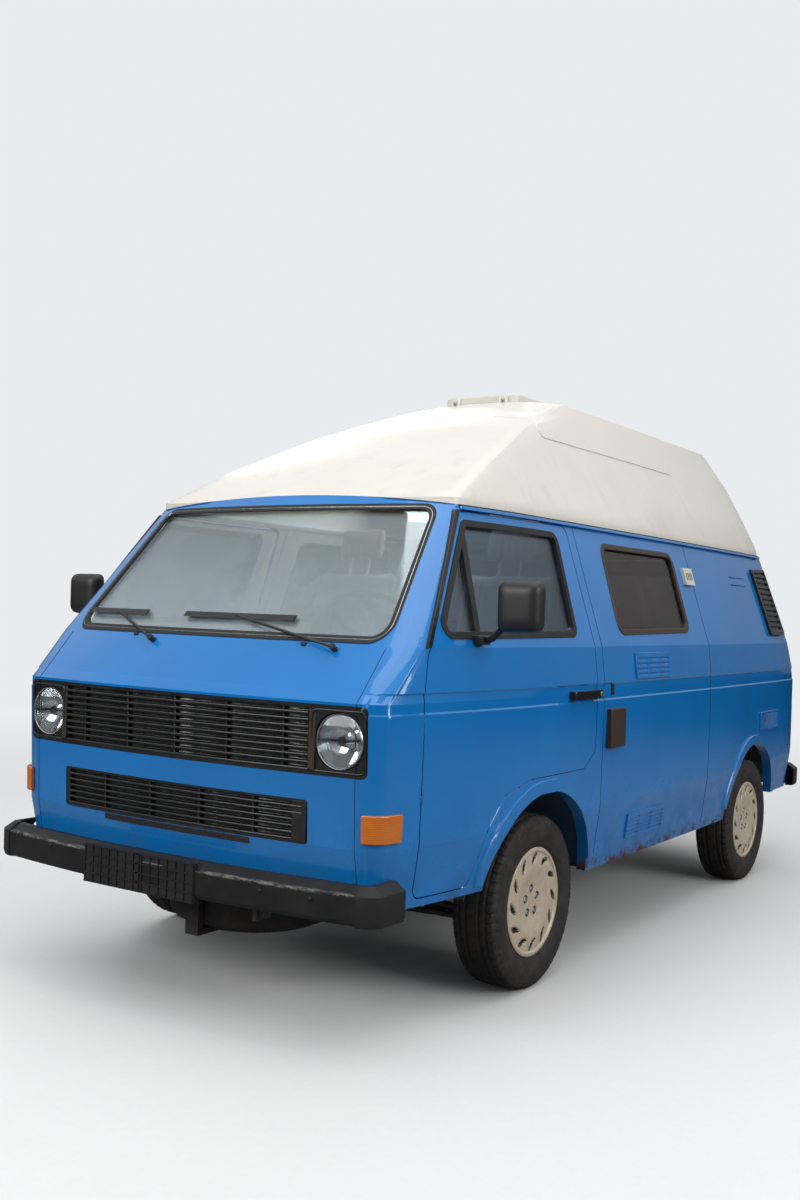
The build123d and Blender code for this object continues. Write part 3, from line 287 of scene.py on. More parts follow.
# Body panels: pressed steel in glossy azure enamel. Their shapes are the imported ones; the copies
# made here have their outer faces smoothed by the body's own plan outlines, level by level.
AXLE_TO_MIDDLE = 1.195
BODY_ROWS = np.array([
    # z, half width, half width at nose, nose y, nose bow, nose corner, tail y, tail corner; mm
    (372, 886, 785, -955, 50, 60, 3310, 120),
    (626, 918, 812, -1003, 55, 70, 3345, 140),
    (1048, 922, 818, -1018, 55, 75, 3345, 140),
    (1054, 918, 814, -1018, 55, 75, 3344, 140),
    (1085, 918, 814, -1018, 55, 75, 3332, 140),
    (1112, 917, 813, -998, 63, 75, 3322, 140),
    (1118, 921, 821, -993, 65, 75, 3320, 140),
    (1262, 904, 828, -898, 107, 70, 3262, 140),
    (1820, 728, 694, -408, 76, 40, 3128, 120),
]) / 1000
ROOF_ROWS = np.array([
    # the same columns for the high roof
    (1735, 742, 706, -434, 47, 40, 3112, 110),
    (1787, 742, 704, -432, 47, 40, 3112, 110),
    (1963, 648, 640, -118, 84, 40, 3132, 110),
    (2157, 543, 539, 325, 92, 40, 3116, 110),
    (2329, 450, 446, 832, 92, 40, 2990, 110),
    (2420, 401, 397, 1130, 90, 40, 2860, 110),
]) / 1000
TAPER_FRONT, TAPER_REAR, TAPER_RADIUS = (0.150, 1.300), 1.200, 48.8
TAIL_BOW = 0.030


def levels(z, rows):
    """The outline's measures at a height, in the order of the rows' columns."""
    return [np.interp(z, rows[:, 0], rows[:, i]) for i in range(1, 8)]


def half_width(along, z, rows):
    """The sides' surface at a place behind the front axle and a height."""
    half, nose_half, nose_y, bow = levels(z, rows)[:4]
    corner_y = nose_y + bow
    front_start = np.clip(corner_y + 0.25, *TAPER_FRONT)
    front_share = np.clip((front_start - along) / (front_start - corner_y), 0, 1.2)
    tail = np.clip(along - TAPER_REAR, 0, None) ** 2 / (2 * TAPER_RADIUS)
    return half - (half - nose_half) * front_share ** 2 - tail


def outside(points, rows):
    """How far points lie outside the body: the sides' and ends' gaps, with rounded corners."""
    x, y, z = np.abs(points[:, 0]), points[:, 1] + AXLE_TO_MIDDLE, points[:, 2]
    half, nose_half, nose_y, bow, nose_r, tail_y, tail_r = levels(z, rows)
    side = x - half_width(y, z, rows)
    nose = nose_y + bow * (x / nose_half) ** 2 - y
    tail = y - (tail_y - TAIL_BOW * (x / half) ** 2)
    end = np.maximum(nose, tail)
    corner = np.where(nose > tail, nose_r, tail_r)
    beyond = np.hypot(np.clip(side + corner, 0, None), np.clip(end + corner, 0, None))
    return beyond + np.minimum(np.maximum(side, end), -corner)


def skin_normals(points, rows, reach_z):
    """The slope of outside(), by small steps along each axis."""
    slopes = []
    for axis, step in enumerate((0.002, 0.002, reach_z)):
        move = np.zeros(3)
        move[axis] = step
        slopes.append((outside(points + move, rows) - outside(points - move, rows)) / (2 * step))
    normals = np.stack(slopes, axis=1)
    return normals / np.linalg.norm(normals, axis=1, keepdims=True)


def read(items, what, columns=1, kind=float):
    """One property of a mesh's vertices, edges, loops or faces, as an array."""
    flat = np.zeros(len(items) * columns, kind)
    items.foreach_get(what, flat)
    return flat.reshape(-1, columns) if columns > 1 else flat


def merged_copy(node, name):
    """A new mesh from a CAD node's loose triangles, with its doubles merged."""
    work = bmesh.new()
    work.from_mesh(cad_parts[node].data)
    bmesh.ops.remove_doubles(work, verts=work.verts, dist=0.00002)
    bmesh.ops.dissolve_degenerate(work, edges=work.edges, dist=0.00002)
    mesh = bpy.data.meshes.new(name)
    work.to_mesh(mesh)
    work.free()
    return mesh


def islands(mesh):
    """A number for each vertex, the same for all that edges join."""
    a, b = read(mesh.edges, "vertices", 2, int).T
    label = np.arange(len(mesh.vertices))
    while True:
        before = label.copy()
        lowest = np.minimum(label[a], label[b])
        np.minimum.at(label, a, lowest)
        np.minimum.at(label, b, lowest)
        label = label[label]
        if (label == before).all():
            return label


def tall(middle, size):
    """Solids more than 0.3 m high."""
    return size[2] > 0.3


def part_of(node, name, chosen):
    """A copy of only those solids of a node whose box passes a test of its middle and size."""
    mesh = merged_copy(node, name)
    label = islands(mesh)
    points = read(mesh.vertices, "co", 3)
    work = bmesh.new()
    work.from_mesh(mesh)
    work.verts.ensure_lookup_table()
    for number in np.unique(label):
        own = np.flatnonzero(label == number)
        low, high = points[own].min(axis=0), points[own].max(axis=0)
        if not chosen((low + high) / 2, high - low):
            for i in own:
                work.verts[i].tag = True
    bmesh.ops.delete(work, geom=[v for v in work.verts if v.tag], context="VERTS")
    work.to_mesh(mesh)
    work.free()
    return mesh


def smooth(mesh, degrees):
    """Smooth shading, broken at edges sharper than that."""
    mesh.shade_smooth()
    mesh.set_sharp_from_angle(angle=math.radians(degrees))


def placed(name, mesh, finish, body="root", node=None):
    """An object at the origin with its finish, riding on a body, that may stand for a CAD node."""
    mesh.materials.clear()
    mesh.materials.append(finish.material)
    piece = bpy.data.objects.new(name, mesh)
    scene.collection.objects.link(piece)
    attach(piece, body)
    if node:
        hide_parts(node)
    return piece


def rounded(piece, width, segments=2):
    """A Bevel modifier on the piece's sharp edges."""
    made = piece.modifiers.new("rounded_edges", "BEVEL")
    made.width, made.segments = width, segments
    made.limit_method, made.angle_limit = "ANGLE", math.radians(35)
    made.use_clamp_overlap = True


def dressed(node, name, finish, degrees=30.0, bevel=0.0, segments=2, body="root",
            chosen=None):
    """A merged, smooth copy of a CAD node, or of some of its solids, with its edges rounded."""
    mesh = part_of(node, name, chosen) if chosen else merged_copy(node, name)
    smooth(mesh, degrees)
    piece = placed(name, mesh, finish, body, node)
    if bevel:
        rounded(piece, bevel, segments)
    return piece


def parted(mesh, finish, where):
    """Gives some of a mesh's faces a second finish."""
    mesh.materials.append(finish.material)
    mesh.polygons.foreach_set("material_index", np.asarray(where, int))


FLARE_RISE, FLARE_TOLERANCE = 0.009, 0.002
# Normals are read off a little inside each face's corners, and kept where they lie within about
# 20 degrees of the face's own.
CORNER_SHARE, CORNER_INSET = 0.3, 0.003
ALIGNED = 0.93
BODY_STEP, ROOF_STEP = 0.0005, 0.030


def skinned(mesh, rows, reach_z, tolerance=0.004, depth=0.0):
    """Gives faces that lie along the body's surface its true normals, and leaves the others."""
    smooth(mesh, 30.0)
    here = read(mesh.vertices, "co", 3)[read(mesh.loops, "vertex_index", 1, int)]
    sizes = read(mesh.polygons, "loop_total", 1, int)
    owner = np.repeat(np.arange(len(sizes)), sizes)
    inward = read(mesh.polygons, "center", 3)[owner] - here
    sample = here + np.clip(inward * CORNER_SHARE, -CORNER_INSET, CORNER_INSET)
    normals = skin_normals(sample, rows, reach_z)
    away = outside(here, rows) - depth
    near = (np.abs(away) < tolerance) | (np.abs(away - FLARE_RISE) < FLARE_TOLERANCE)
    facing = (read(mesh.polygons, "normal", 3)[owner] * normals).sum(axis=1)
    normals *= np.sign(facing)[:, None]
    normals[~(near & (np.abs(facing) > ALIGNED))] = 0.0
    mesh.normals_split_custom_set(normals.tolist())


BLUE, DEEP_BLUE = (0.004, 0.205, 0.600), (0.003, 0.130, 0.430)
body_paint = Finish("azure_enamel", "body_paint", Roughness=0.28, Specular_IOR_Level=0.25, Coat_Weight=1.0,
                    Coat_Roughness=0.04)
z = body_paint.axes()[2]
fade = body_paint.noise(2.2, 3.0)
drift = body_paint.noise(60.0, 4.0)
# Dust low on the body dulls the paint and takes off its gloss. The same mask also darkens the colour there,
# as painted shade of the dark ground the paint mirrors.
dust = z.rise(0.75, 0.36) * body_paint.noise(9.0, 5.0, 0.65).rise(0.35, 0.75)
chips = body_paint.noise(75.0, 5.0, 0.7).rise(0.70, 0.74) * z.rise(0.60, 0.40)
sill_rust = z.rise(0.43, 0.385) * body_paint.noise(14.0, 6.0, 0.75).rise(0.46, 0.60)
rust = chips.most(sill_rust)
paint = body_paint.mix(fade.rise(0.25, 0.75) * 0.35, BLUE, DEEP_BLUE)
paint = body_paint.mix(drift * 0.10, paint, (0.03, 0.26, 0.66))
# Painted shade with the dust: the colour goes darker blue-grey towards the bottom.
paint = body_paint.mix(dust * 0.45, paint, (0.045, 0.065, 0.085))
paint = body_paint.mix(rust, paint, (0.10, 0.035, 0.012))
waves = body_paint.noise(1.6, 1.0, 0.4)
peel = body_paint.noise(420.0, 1.0)
relief = body_paint.bump(peel, 0.00004, 0.5, body_paint.bump(waves, 0.012, 0.30))
body_paint.set(Base_Color=paint, Roughness=0.26 + dust * 0.35 + rust * 0.4,
               Coat_Weight=1 - (dust * 0.8).most(rust), Normal=relief)

trim_board = mottled("cabin_trim", None, (6.0, 4.0, 0.7), (0.34, 0.31, 0.27), (0.44, 0.41, 0.36),
                     Roughness=0.75)
OPENING = ("left_door", "right_door", "tailgate")
BODY_PANELS = ("nose_panel", "windscreen_frame", "left_side_panel", "right_side_panel", "rear_panel",
               "sliding_door", *OPENING)
INNER_FACES, FLOOR_TOP = -0.034, 0.46
for node in BODY_PANELS:
    name = "pillars_and_cowl" if node == "windscreen_frame" else node.replace("_panel", "") + "_skin"
    mesh = merged_copy(node, name)
    skinned(mesh, BODY_ROWS, BODY_STEP)
    placed(name, mesh, body_paint, node if node in OPENING else "root", node=node)
    middles = read(mesh.polygons, "center", 3)
    parted(mesh, trim_board, (outside(middles, BODY_ROWS) < INNER_FACES) & (middles[:, 2] > FLOOR_TOP))

# High roof: a fibreglass moulding in cream gelcoat, laid up in a mould, so it is smooth from
# level to level, with a flat top, a faint raised panel on each side and rain streaks.
gelcoat = Finish("cream_gelcoat", "white_fibreglass", Roughness=0.32, Coat_Weight=0.25, Coat_Roughness=0.15)
z = gelcoat.axes()[2]
streaks = gelcoat.noise(14.0, 4.0, 0.6, (1, 1, 0.06)).rise(0.52, 0.80)
grime = (gelcoat.noise(3.0, 5.0, 0.6).rise(0.4, 0.8) * 0.35 + streaks * 0.5) * z.rise(2.3, 1.75)
cream = gelcoat.mix(gelcoat.noise(5.0, 3.0) * 0.6, (0.80, 0.76, 0.68), (0.86, 0.83, 0.76))
cream = gelcoat.mix(grime * 0.45, cream, (0.42, 0.38, 0.30))
ripple = gelcoat.bump(gelcoat.noise(2.5, 2.0), 0.010, 0.25)
gelcoat.set(Base_Color=cream, Roughness=0.30 + grime * 0.3,
            Normal=gelcoat.bump(gelcoat.noise(300.0, 2.0), 0.00006, 0.5, ripple))
mesh = merged_copy("high_roof", "roof_shell")
skinned(mesh, ROOF_ROWS, ROOF_STEP, 0.006)
placed("roof_shell", mesh, gelcoat, node="high_roof")

# Roof hatch: a white plastic lid on two hinges, its edges softened and its face chalky.
lid_plastic = mottled("chalky_plastic", "white_plastic", (18.0, 4.0, 0.6), (0.62, 0.60, 0.54),
                      (0.80, 0.78, 0.72), (500.0, 2.0, 0.0001, 0.5), Roughness=0.55)
dressed("roof_hatch", "hatch_lid", lid_plastic, 30.0, 0.003, body="roof_hatch")

# Window glass: toughened panes, the windscreen clear and the camper windows bronze acrylic.
# What shows is mostly reflection, stronger at a slant, over a slightly tinted view inside.


def glazed(name, tint, share, smear, film=0.0, slot="glass"):
    """Tinted clear pane under a mirror reflection that follows the slant, with dusty smears and
    a film of road dust that thickens towards its foot."""
    pane = Finish(name, slot, Base_Color=(0.86, 0.90, 0.93), Metallic=1.0)
    wiped = pane.noise(5.0, 5.0, 0.65, (1, 1, 0.5)).rise(0.45, 0.80)
    pane.set(Roughness=0.02 + wiped * smear)
    slant = pane.node("ShaderNodeLayerWeight", {}, {"Blend": 0.35})
    clear = pane.node("ShaderNodeBsdfTransparent", {}, {"Color": (*tint, 1.0)})
    shine = Value(pane, pane.shader.outputs[0])
    both = pane.node("ShaderNodeMixShader", {},
                     {0: slant * 0.7 + share + wiped * smear * 0.6, 1: clear, 2: shine})
    dust = pane.node("ShaderNodeBsdfDiffuse", {}, {"Color": (0.62, 0.71, 0.77, 1.0)})
    cover = pane.axes()[2].rise(1.80, 1.25) * (pane.noise(2.6, 4.0) * 1.1 + 0.25) * film
    whole = pane.node("ShaderNodeMixShader", {}, {0: cover, 1: both, 2: dust})
    pane.tree.links.new(whole.socket, pane.tree.nodes["Material Output"].inputs["Surface"])
    return pane


clear_glass = glazed("screen_glass", (0.90, 0.94, 0.93), 0.06, 0.16, 0.20)
door_glass = glazed("door_glass", (0.58, 0.66, 0.74), 0.03, 0.05)
bronze_glass = glazed("bronze_acrylic", (0.42, 0.33, 0.28), 0.03, 0.08)
PANE_DEPTH = 0.0125
PANES = [
    # node, body, piece, finish
    ("windscreen", "root", "windscreen_pane", clear_glass),
    ("left_door_glass", "left_door", "left_door_pane", door_glass),
    ("right_door_glass", "right_door", "right_door_pane", door_glass),
    ("tailgate_glass", "tailgate", "tailgate_pane", door_glass),
    ("side_windows", "root", "side_panes", bronze_glass),
]
for node, body, name, finish in PANES:
    mesh = merged_copy(node, name)
    skinned(mesh, BODY_ROWS, BODY_STEP, 0.0045, -PANE_DEPTH)
    placed(name, mesh, finish, body, node=node)

# Window rubbers and trim: matte black rubber, gone grey where it catches dust.
rubber = mottled("window_rubber", "black_rubber", (12.0, 5.0, 0.5, 0.7), (0.012, 0.012, 0.013),
                 (0.06, 0.058, 0.055), (260.0, 3.0, 0.0003, 0.4), (0.5, 0.9), Roughness=0.62)
brown_frame = mottled("bronze_frame", "black_plastic", (30.0, 4.0, 0.6), (0.035, 0.022, 0.015),
                      (0.07, 0.045, 0.03), Roughness=0.42)
seals = dressed("window_rubbers", "window_seals", rubber, 35.0, 0.003).data
middles = read(seals.polygons, "center", 3)
parted(seals, brown_frame, (middles[:, 0] > 0.5) & (middles[:, 1] > -0.8))


def body_x(y, z):
    """Half width of the body's outer surface at a place along it and a height."""
    return half_width(np.asarray(y) + AXLE_TO_MIDDLE, z, BODY_ROWS)


def body_nose(x, z):
    """Where the nose's outer surface lies, at a place across and a height."""
    nose_half, nose_y, bow = levels(z, BODY_ROWS)[1:4]
    return nose_y + bow * (np.asarray(x) / nose_half) ** 2 - AXLE_TO_MIDDLE


def on_nose(x, z, rise=0.0):
    """A path over the nose, so far behind its surface."""
    return np.stack([x, body_nose(x, z) + rise, z], axis=1)


def on_side(y, z, rise=0.0, side=1):
    """A path along a side, so far proud of its surface."""
    return np.stack([side * (body_x(y, z) + rise), y, z], axis=1)


def round_loop(corners, radius, count):
    """A closed outline with round corners, as evenly spaced points of its runs and arcs."""
    corners = np.asarray(corners, float)
    points = []
    for before, here, after in zip(np.roll(corners, 1, 0), corners, np.roll(corners, -1, 0)):
        back, ahead = before - here, after - here
        back, ahead = back / np.linalg.norm(back), ahead / np.linalg.norm(ahead)
        half_turn = math.acos(np.clip(back @ ahead, -1, 1)) / 2
        reach = radius / math.tan(half_turn)
        share = np.linspace(0, 1, 9)[:, None]
        start, end = here + back * reach, here + ahead * reach
        points.append((1 - share) ** 2 * start + 2 * share * (1 - share) * here + share ** 2 * end)
    points = np.concatenate(points)
    steps = np.linalg.norm(np.diff(np.concatenate([points, points[:1]]), axis=0), axis=1)
    along = np.concatenate([[0], np.cumsum(steps)])
    wanted = np.linspace(0, along[-1], count, endpoint=False)
    closed = np.concatenate([points, points[:1]])
    return np.stack([np.interp(wanted, along, closed[:, i]) for i in range(points.shape[1])], axis=1)


def grid(points, wrap_u=False, wrap_v=False, caps=False):
    """Quads between neighbouring points of a grid, closed round where it wraps."""
    rows, columns = points.shape[:2]
    index = np.arange(rows * columns).reshape(rows, columns)
    if wrap_u:
        index = np.concatenate([index, index[:1]])
    if wrap_v:
        index = np.concatenate([index, index[:, :1]], axis=1)
    quads = np.stack([index[:-1, :-1], index[1:, :-1], index[1:, 1:], index[:-1, 1:]], axis=-1)
    faces = quads.reshape(-1, 4).tolist()
    if caps:
        faces += [list(range(columns))[::-1], list(range((rows - 1) * columns, rows * columns))]
    return points.reshape(-1, 3), faces


def carried(path, section, closed=False, up=(0, 0, 1)):
    """A closed section, in (across, up) offsets, carried along a path of points."""
    path, section = np.asarray(path, float), np.asarray(section, float)
    if closed:
        ahead = np.roll(path, -1, 0) - np.roll(path, 1, 0)
    else:
        ahead = np.gradient(path, axis=0)
    ahead = ahead / np.linalg.norm(ahead, axis=1, keepdims=True)
    up = np.broadcast_to(np.asarray(up, float), path.shape)
    across = np.cross(ahead, up)
    across = across / np.linalg.norm(across, axis=1, keepdims=True)
    rise = np.cross(across, ahead)
    points = path[:, None] + section[None, :, :1] * across[:, None] + section[None, :, 1:] * rise[:, None]
    return grid(points, wrap_u=closed, wrap_v=True, caps=not closed)


def oval(width, height, count=12):
    """Points round an ellipse."""
    turn = np.linspace(0, 2 * np.pi, count, endpoint=False)
    return np.stack([width / 2 * np.cos(turn), height / 2 * np.sin(turn)], axis=1)


def block(x0, x1, y0, y1, z0, z1):
    """A plain box, to be rounded by a Bevel modifier."""
    points = np.array([(x, y, z) for x in (x0, x1) for y in (y0, y1) for z in (z0, z1)])
    faces = [[0, 1, 3, 2], [4, 6, 7, 5], [0, 4, 5, 1], [2, 3, 7, 6], [0, 2, 6, 4], [1, 5, 7, 3]]
    return points, faces


def axle_block(x0, x1, y0, y1, z0, z1):
    """A plain box whose y is behind the front axle."""
    return block(x0, x1, y0 - AXLE_TO_MIDDLE, y1 - AXLE_TO_MIDDLE, z0, z1)


def spun(profile, centre, count=48, axis=0):
    """An (along, radius) profile turned about an axis through a centre, closed at its poles."""
    along, radius = np.asarray(profile, float).T
    turn = np.linspace(0, 2 * np.pi, count, endpoint=False)[:, None]
    local = np.stack([np.broadcast_to(along, (count, len(along))), radius * np.cos(turn),
                      radius * np.sin(turn)], axis=-1)
    return grid(np.roll(local, axis, axis=-1) + np.asarray(centre), wrap_u=True)


def built(name, shapes, finish, degrees=35.0, bevel=0.0, segments=2, body="root", node=None):
    """One piece from several shapes, facing outwards and smooth."""
    work = bmesh.new()
    for points, faces in shapes:
        made = [work.verts.new(p) for p in np.asarray(points).tolist()]
        for face in faces:
            work.faces.new([made[i] for i in face])
    bmesh.ops.remove_doubles(work, verts=work.verts, dist=0.000002)
    bmesh.ops.recalc_face_normals(work, faces=work.faces)
    mesh = bpy.data.meshes.new(name)
    work.to_mesh(mesh)
    work.free()
    smooth(mesh, degrees)
    piece = placed(name, mesh, finish, body, node)
    if bevel:
        rounded(piece, bevel, segments)
    return piece


bright_trim = polished("bright_trim", (0.55, 0.55, 0.55), 0.15, 90.0, 0.2)
outline = round_loop([(-0.727, 1.281), (0.727, 1.281), (0.646, 1.751), (-0.646, 1.751)], 0.062, 240)
bead = carried(on_nose(*outline.T, -0.0035), oval(0.0032, 0.003, 8), True, (0, -1, 0.4))
built("screen_bead", [bead], bright_trim)

# Gutters and pillar mouldings: the gutter is body metal with a dark rubber lip along the roof's
# foot; the mouldings down the windscreen pillars are black with a bright edge.
black_gloss = mottled("black_trim", "black_plastic", (40.0, 4.0, 0.5), (0.010, 0.010, 0.011),
                      (0.03, 0.03, 0.032), Roughness=0.22)
rails = dressed("drip_rails", "gutters_and_mouldings", body_paint, 35.0, 0.0015).data
parted(rails, black_gloss, read(rails.polygons, "center", 3)[:, 2] < 1.742)
y = np.linspace(-1.560, 1.780, 90)
z = np.full_like(y, 1.7575)
lips = [carried(on_side(y, z, 0.002, side), oval(0.012, 0.009, 8)) for side in (-1, 1)]
built("roof_foot_rubber", lips, rubber)

# Upper and lower grilles: black plastic mouldings, each slat with a rounded nose that catches
# the light, upright ribs behind them, and a bare centre.
grille_plastic = mottled("grille_plastic", "black_plastic", (25.0, 5.0, 0.4, 0.7), (0.010, 0.010, 0.011),
                         (0.05, 0.048, 0.045), None, (0.45, 0.9), (0.22, 0.25), Coat_Weight=0.3,
                         Coat_Roughness=0.2)
for where in ("upper", "lower"):
    dressed(f"{where}_grille", f"{where}_grille_frame", grille_plastic, 30.0, 0.0012)
GRILLES = [
    # half width, slats from z, to z, slats
    (0.560, 0.862, 1.064, 9),
    (0.540, 0.633, 0.760, 6),
]
noses = []
for half, z0, z1, count in GRILLES:
    pitch = (z1 - z0) / count
    for i in range(count):
        x = np.linspace(-half, half, 41)
        z = np.full_like(x, z0 + (i + 0.225) * pitch)
        noses.append(carried(on_nose(x, z, 0.0025), oval(0.009, 0.46 * pitch, 12)))
built("grille_slat_noses", noses, grille_plastic, 60.0)

# Headlamps: a deep black recess with a thin metal rim, a silvered bowl, and a domed glass
# pressed with upright flutes.
LAMP_X, LAMP_Z = 0.671, 0.962
LAMP_FRONT = -0.986 - AXLE_TO_MIDDLE
silvered = Finish("silvered_bowl", Base_Color=(0.85, 0.86, 0.87), Metallic=1.0, Roughness=0.12)
lamp_glass = glazed("lamp_glass", (0.86, 0.90, 0.92), 0.12, 0.05, slot="lamp_lens")
lamp_glass.set(Normal=lamp_glass.bump(lamp_glass.waves("X", 42.0), 0.0012, 0.9))
out = np.linspace(0, 1, 22)
dome = np.stack([0.017 * out ** 2, 0.086 * out], axis=1)
bowl = np.stack([0.062 - 0.040 * out ** 2, 0.085 * out], axis=1)
bulb = [(0.030, 0), (0.030, 0.017), (0.060, 0.022)]
ring = [(0.013, 0.0895), (0.0105, 0.0875), (0.0125, 0.0850), (0.020, 0.0850), (0.028, 0.0895),
        (0.028, 0.0915), (0.016, 0.0915), (0.013, 0.0895)]
LAMP_PARTS = [
    # piece, profiles with their facets, finish, smoothing angle, node it stands for
    ("rims", [(ring, 64)], bright_trim, 50.0, None),
    ("bowls", [(bowl, 64), (bulb, 32)], silvered, 40.0, None),
    ("glasses", [(dome, 64)], lamp_glass, 60.0, "headlamps"),
]
for name, profiles, finish, degrees, node in LAMP_PARTS:
    shapes = [spun(profile, (x, LAMP_FRONT, LAMP_Z), count, 1) for x in (-LAMP_X, LAMP_X)
              for profile, count in profiles]
    built(f"headlamp_{name}", shapes, finish, degrees, node=node)

# Indicators and tail lamps: moulded acrylic, ribbed inside. The tail lamps are amber above, red
# in the middle and clear below, with dark seams between.


def lens_finish(name, slot, colour, deep):
    """Coloured acrylic over a prismatic back, with fine ribs in colour and relief, and its colour."""
    lens = Finish(name, slot, Roughness=0.16, Coat_Weight=1.0, Coat_Roughness=0.05, IOR=1.49)
    ribs = lens.waves("Z", 55.0)
    glow = lens.mix(ribs * 0.45 + lens.noise(22.0) * 0.35, deep, colour)
    lens.set(Base_Color=glow, Normal=lens.bump(ribs, 0.0006, 0.5))
    return lens, glow


amber = lens_finish("amber_acrylic", "amber_lens", (0.90, 0.27, 0.012), (0.50, 0.10, 0.003))[0]
banded, glow = lens_finish("banded_acrylic", "red_lens", (0.62, 0.02, 0.015), (0.25, 0.005, 0.004))
AMBER_FROM, CLEAR_TO = 0.824, 0.721
z = banded.axes()[2]
glow = banded.mix(z.rise(AMBER_FROM - 0.002, AMBER_FROM + 0.001), glow, (0.80, 0.27, 0.015))
glow = banded.mix(z.rise(CLEAR_TO + 0.002, CLEAR_TO - 0.001), glow, (0.62, 0.63, 0.63))
seam = sum(z.rise(m - 0.004, m - 0.002) * z.rise(m + 0.004, m + 0.002) for m in (AMBER_FROM, CLEAR_TO))
banded.set(Base_Color=banded.mix(seam, glow, (0.08, 0.01, 0.01)))
dressed("front_indicators", "front_indicator_lenses", amber, 35.0, 0.004, 3)
dressed("tail_lamps", "tail_lamp_lenses", banded, 35.0, 0.003, 3)

# Bumpers: pressed steel bars in satin black with painted highlight and wear along the sloping top
# edge, rounded plastic caps on their ends, dome-headed bolts, and a bare black holder where a plate would go.
satin_black = Finish("satin_black", "bumper_paint", Specular_IOR_Level=0.25, Coat_Weight=0.08,
                     Coat_Roughness=0.3)
scratch = satin_black.noise(55.0, 5.0, 0.75, (0.3, 1, 1))
dirt = satin_black.noise(7.0, 5.0, 0.65)
z = satin_black.axes()[2]
# Painted highlight with wear: a bright band where the sloping top meets the face, with scratches.
highlit_worn_edge = z.rise(0.498, 0.504) * z.rise(0.513, 0.506)
wear_and_highlight = (highlit_worn_edge * scratch.rise(0.42, 0.62)).most(scratch.rise(0.72, 0.76) * 0.7)
black = satin_black.mix(dirt.rise(0.4, 0.9) * 0.5, (0.011, 0.011, 0.012), (0.045, 0.042, 0.038))
satin_black.set(Base_Color=satin_black.mix(wear_and_highlight * 0.7, black, (0.32, 0.31, 0.30)),
                Roughness=0.30 + dirt * 0.25,
                Normal=satin_black.bump(scratch, 0.0003, 0.3))
cap_plastic = mottled("cap_plastic", "black_plastic", (9.0, 4.0, 0.6), (0.012, 0.012, 0.013),
                      (0.04, 0.039, 0.037), (350.0, 3.0, 0.0002, 0.5), Roughness=0.5,
                      Specular_IOR_Level=0.3)


def bumper_line(half, nose_half, end_y, bow, corner, reach_y):
    """A bumper's outer line from one end round to the other: bowed middle, round corners."""
    sign = 1 if reach_y > end_y else -1
    x = np.linspace(-nose_half + corner, nose_half - corner, 61)
    y = end_y + sign * bow * (x / nose_half) ** 2
    turn = np.linspace(0, np.pi / 2, 10)[1:]
    arc_x = x[-1] + (half - x[-1]) * np.sin(turn)
    arc_y = y[-1] + sign * corner * (1 - np.cos(turn))
    right = np.stack([np.append(arc_x, half), np.append(arc_y, reach_y)], axis=1)
    return np.concatenate([right[::-1] * (-1, 1), np.stack([x, y], axis=1), right])


def bumper_bar(line, low, high, grow=0.0):
    """A pressed channel carried round the line: upright face, sloping top, rolled lower lip."""
    section = np.array([
        # depth behind the outer line, height
        (0.052, high), (0.036, high - 0.001), (0.0, high - 0.027), (-0.001, high - 0.034),
        (0.0, low + 0.016), (0.006, low + 0.003), (0.018, low), (0.052, low), (0.052, low + 0.004),
        (0.019, low + 0.004), (0.009, low + 0.008), (0.005, low + 0.018), (0.004, high - 0.034),
        (0.006, high - 0.029), (0.037, high - 0.005), (0.052, high - 0.004),
    ])
    section[:8, 0] -= grow
    section[:3, 1] += grow
    section[5:8, 1] -= grow
    inward = -np.sign(line[len(line) // 2, 1])
    return carried(np.column_stack([line, np.zeros(len(line))]), section * (-inward, 1))


BUMPERS = [
    # where, outer line in axle places: half, nose half, end y, bow, corner, reach; z from and to
    ("front", (0.868, 0.838, -1.090, 0.062, 0.055, -0.868), 0.411, 0.532),
    ("rear", (0.868, 0.838, 3.480, 0.030, 0.080, 3.318), 0.418, 0.540),
]
CAP_FROM_X = 0.795
for where, shape, low, high in BUMPERS:
    line = bumper_line(*shape) - (0, AXLE_TO_MIDDLE)
    bar = bumper_bar(line, low, high)
    built(f"{where}_bumper_bar", [bar], satin_black, 22.0, 0.0015, node=f"{where}_bumper")
    ends = [line[line[:, 0] > CAP_FROM_X], line[line[:, 0] < -CAP_FROM_X]]
    caps = [bumper_bar(end, low, high, 0.003) for end in ends]
    built(f"{where}_bumper_caps", caps, cap_plastic, 22.0, 0.002)

BOLTS = [(-0.721, 0.505), (-0.535, 0.488), (0.453, 0.478), (0.640, 0.478)]
nose_half, end_y, bow = BUMPERS[0][1][1:4]
dome = [(0.0, 0.009), (-0.003, 0.0085), (-0.005, 0.006), (-0.006, 0.0)]
heads = [spun(dome, (x, end_y + bow * (x / nose_half) ** 2 - AXLE_TO_MIDDLE, z), 20, 1) for x, z in BOLTS]
built("bumper_bolts", heads, satin_black, 50.0)

PLATE_X, PLATE_Z, PLATE_Y = (-0.330, 0.190), (0.398, 0.528), (-1.094 - AXLE_TO_MIDDLE)
holder = [block(*PLATE_X, PLATE_Y + 0.004, PLATE_Y + 0.020, *PLATE_Z)]
for x in np.linspace(PLATE_X[0] + 0.004, PLATE_X[1] - 0.007, 14):
    holder.append(block(x, x + 0.003, PLATE_Y, PLATE_Y + 0.005, *PLATE_Z))
for z in np.linspace(PLATE_Z[0], PLATE_Z[1] - 0.004, 5):
    holder.append(block(*PLATE_X, PLATE_Y, PLATE_Y + 0.0052, z, z + 0.004))
bar_x = sum(PLATE_X) / 2
holder.append(block(bar_x - 0.008, bar_x + 0.008, PLATE_Y, PLATE_Y + 0.0055, *PLATE_Z))
built("plate_holder", holder, cap_plastic, 30.0)

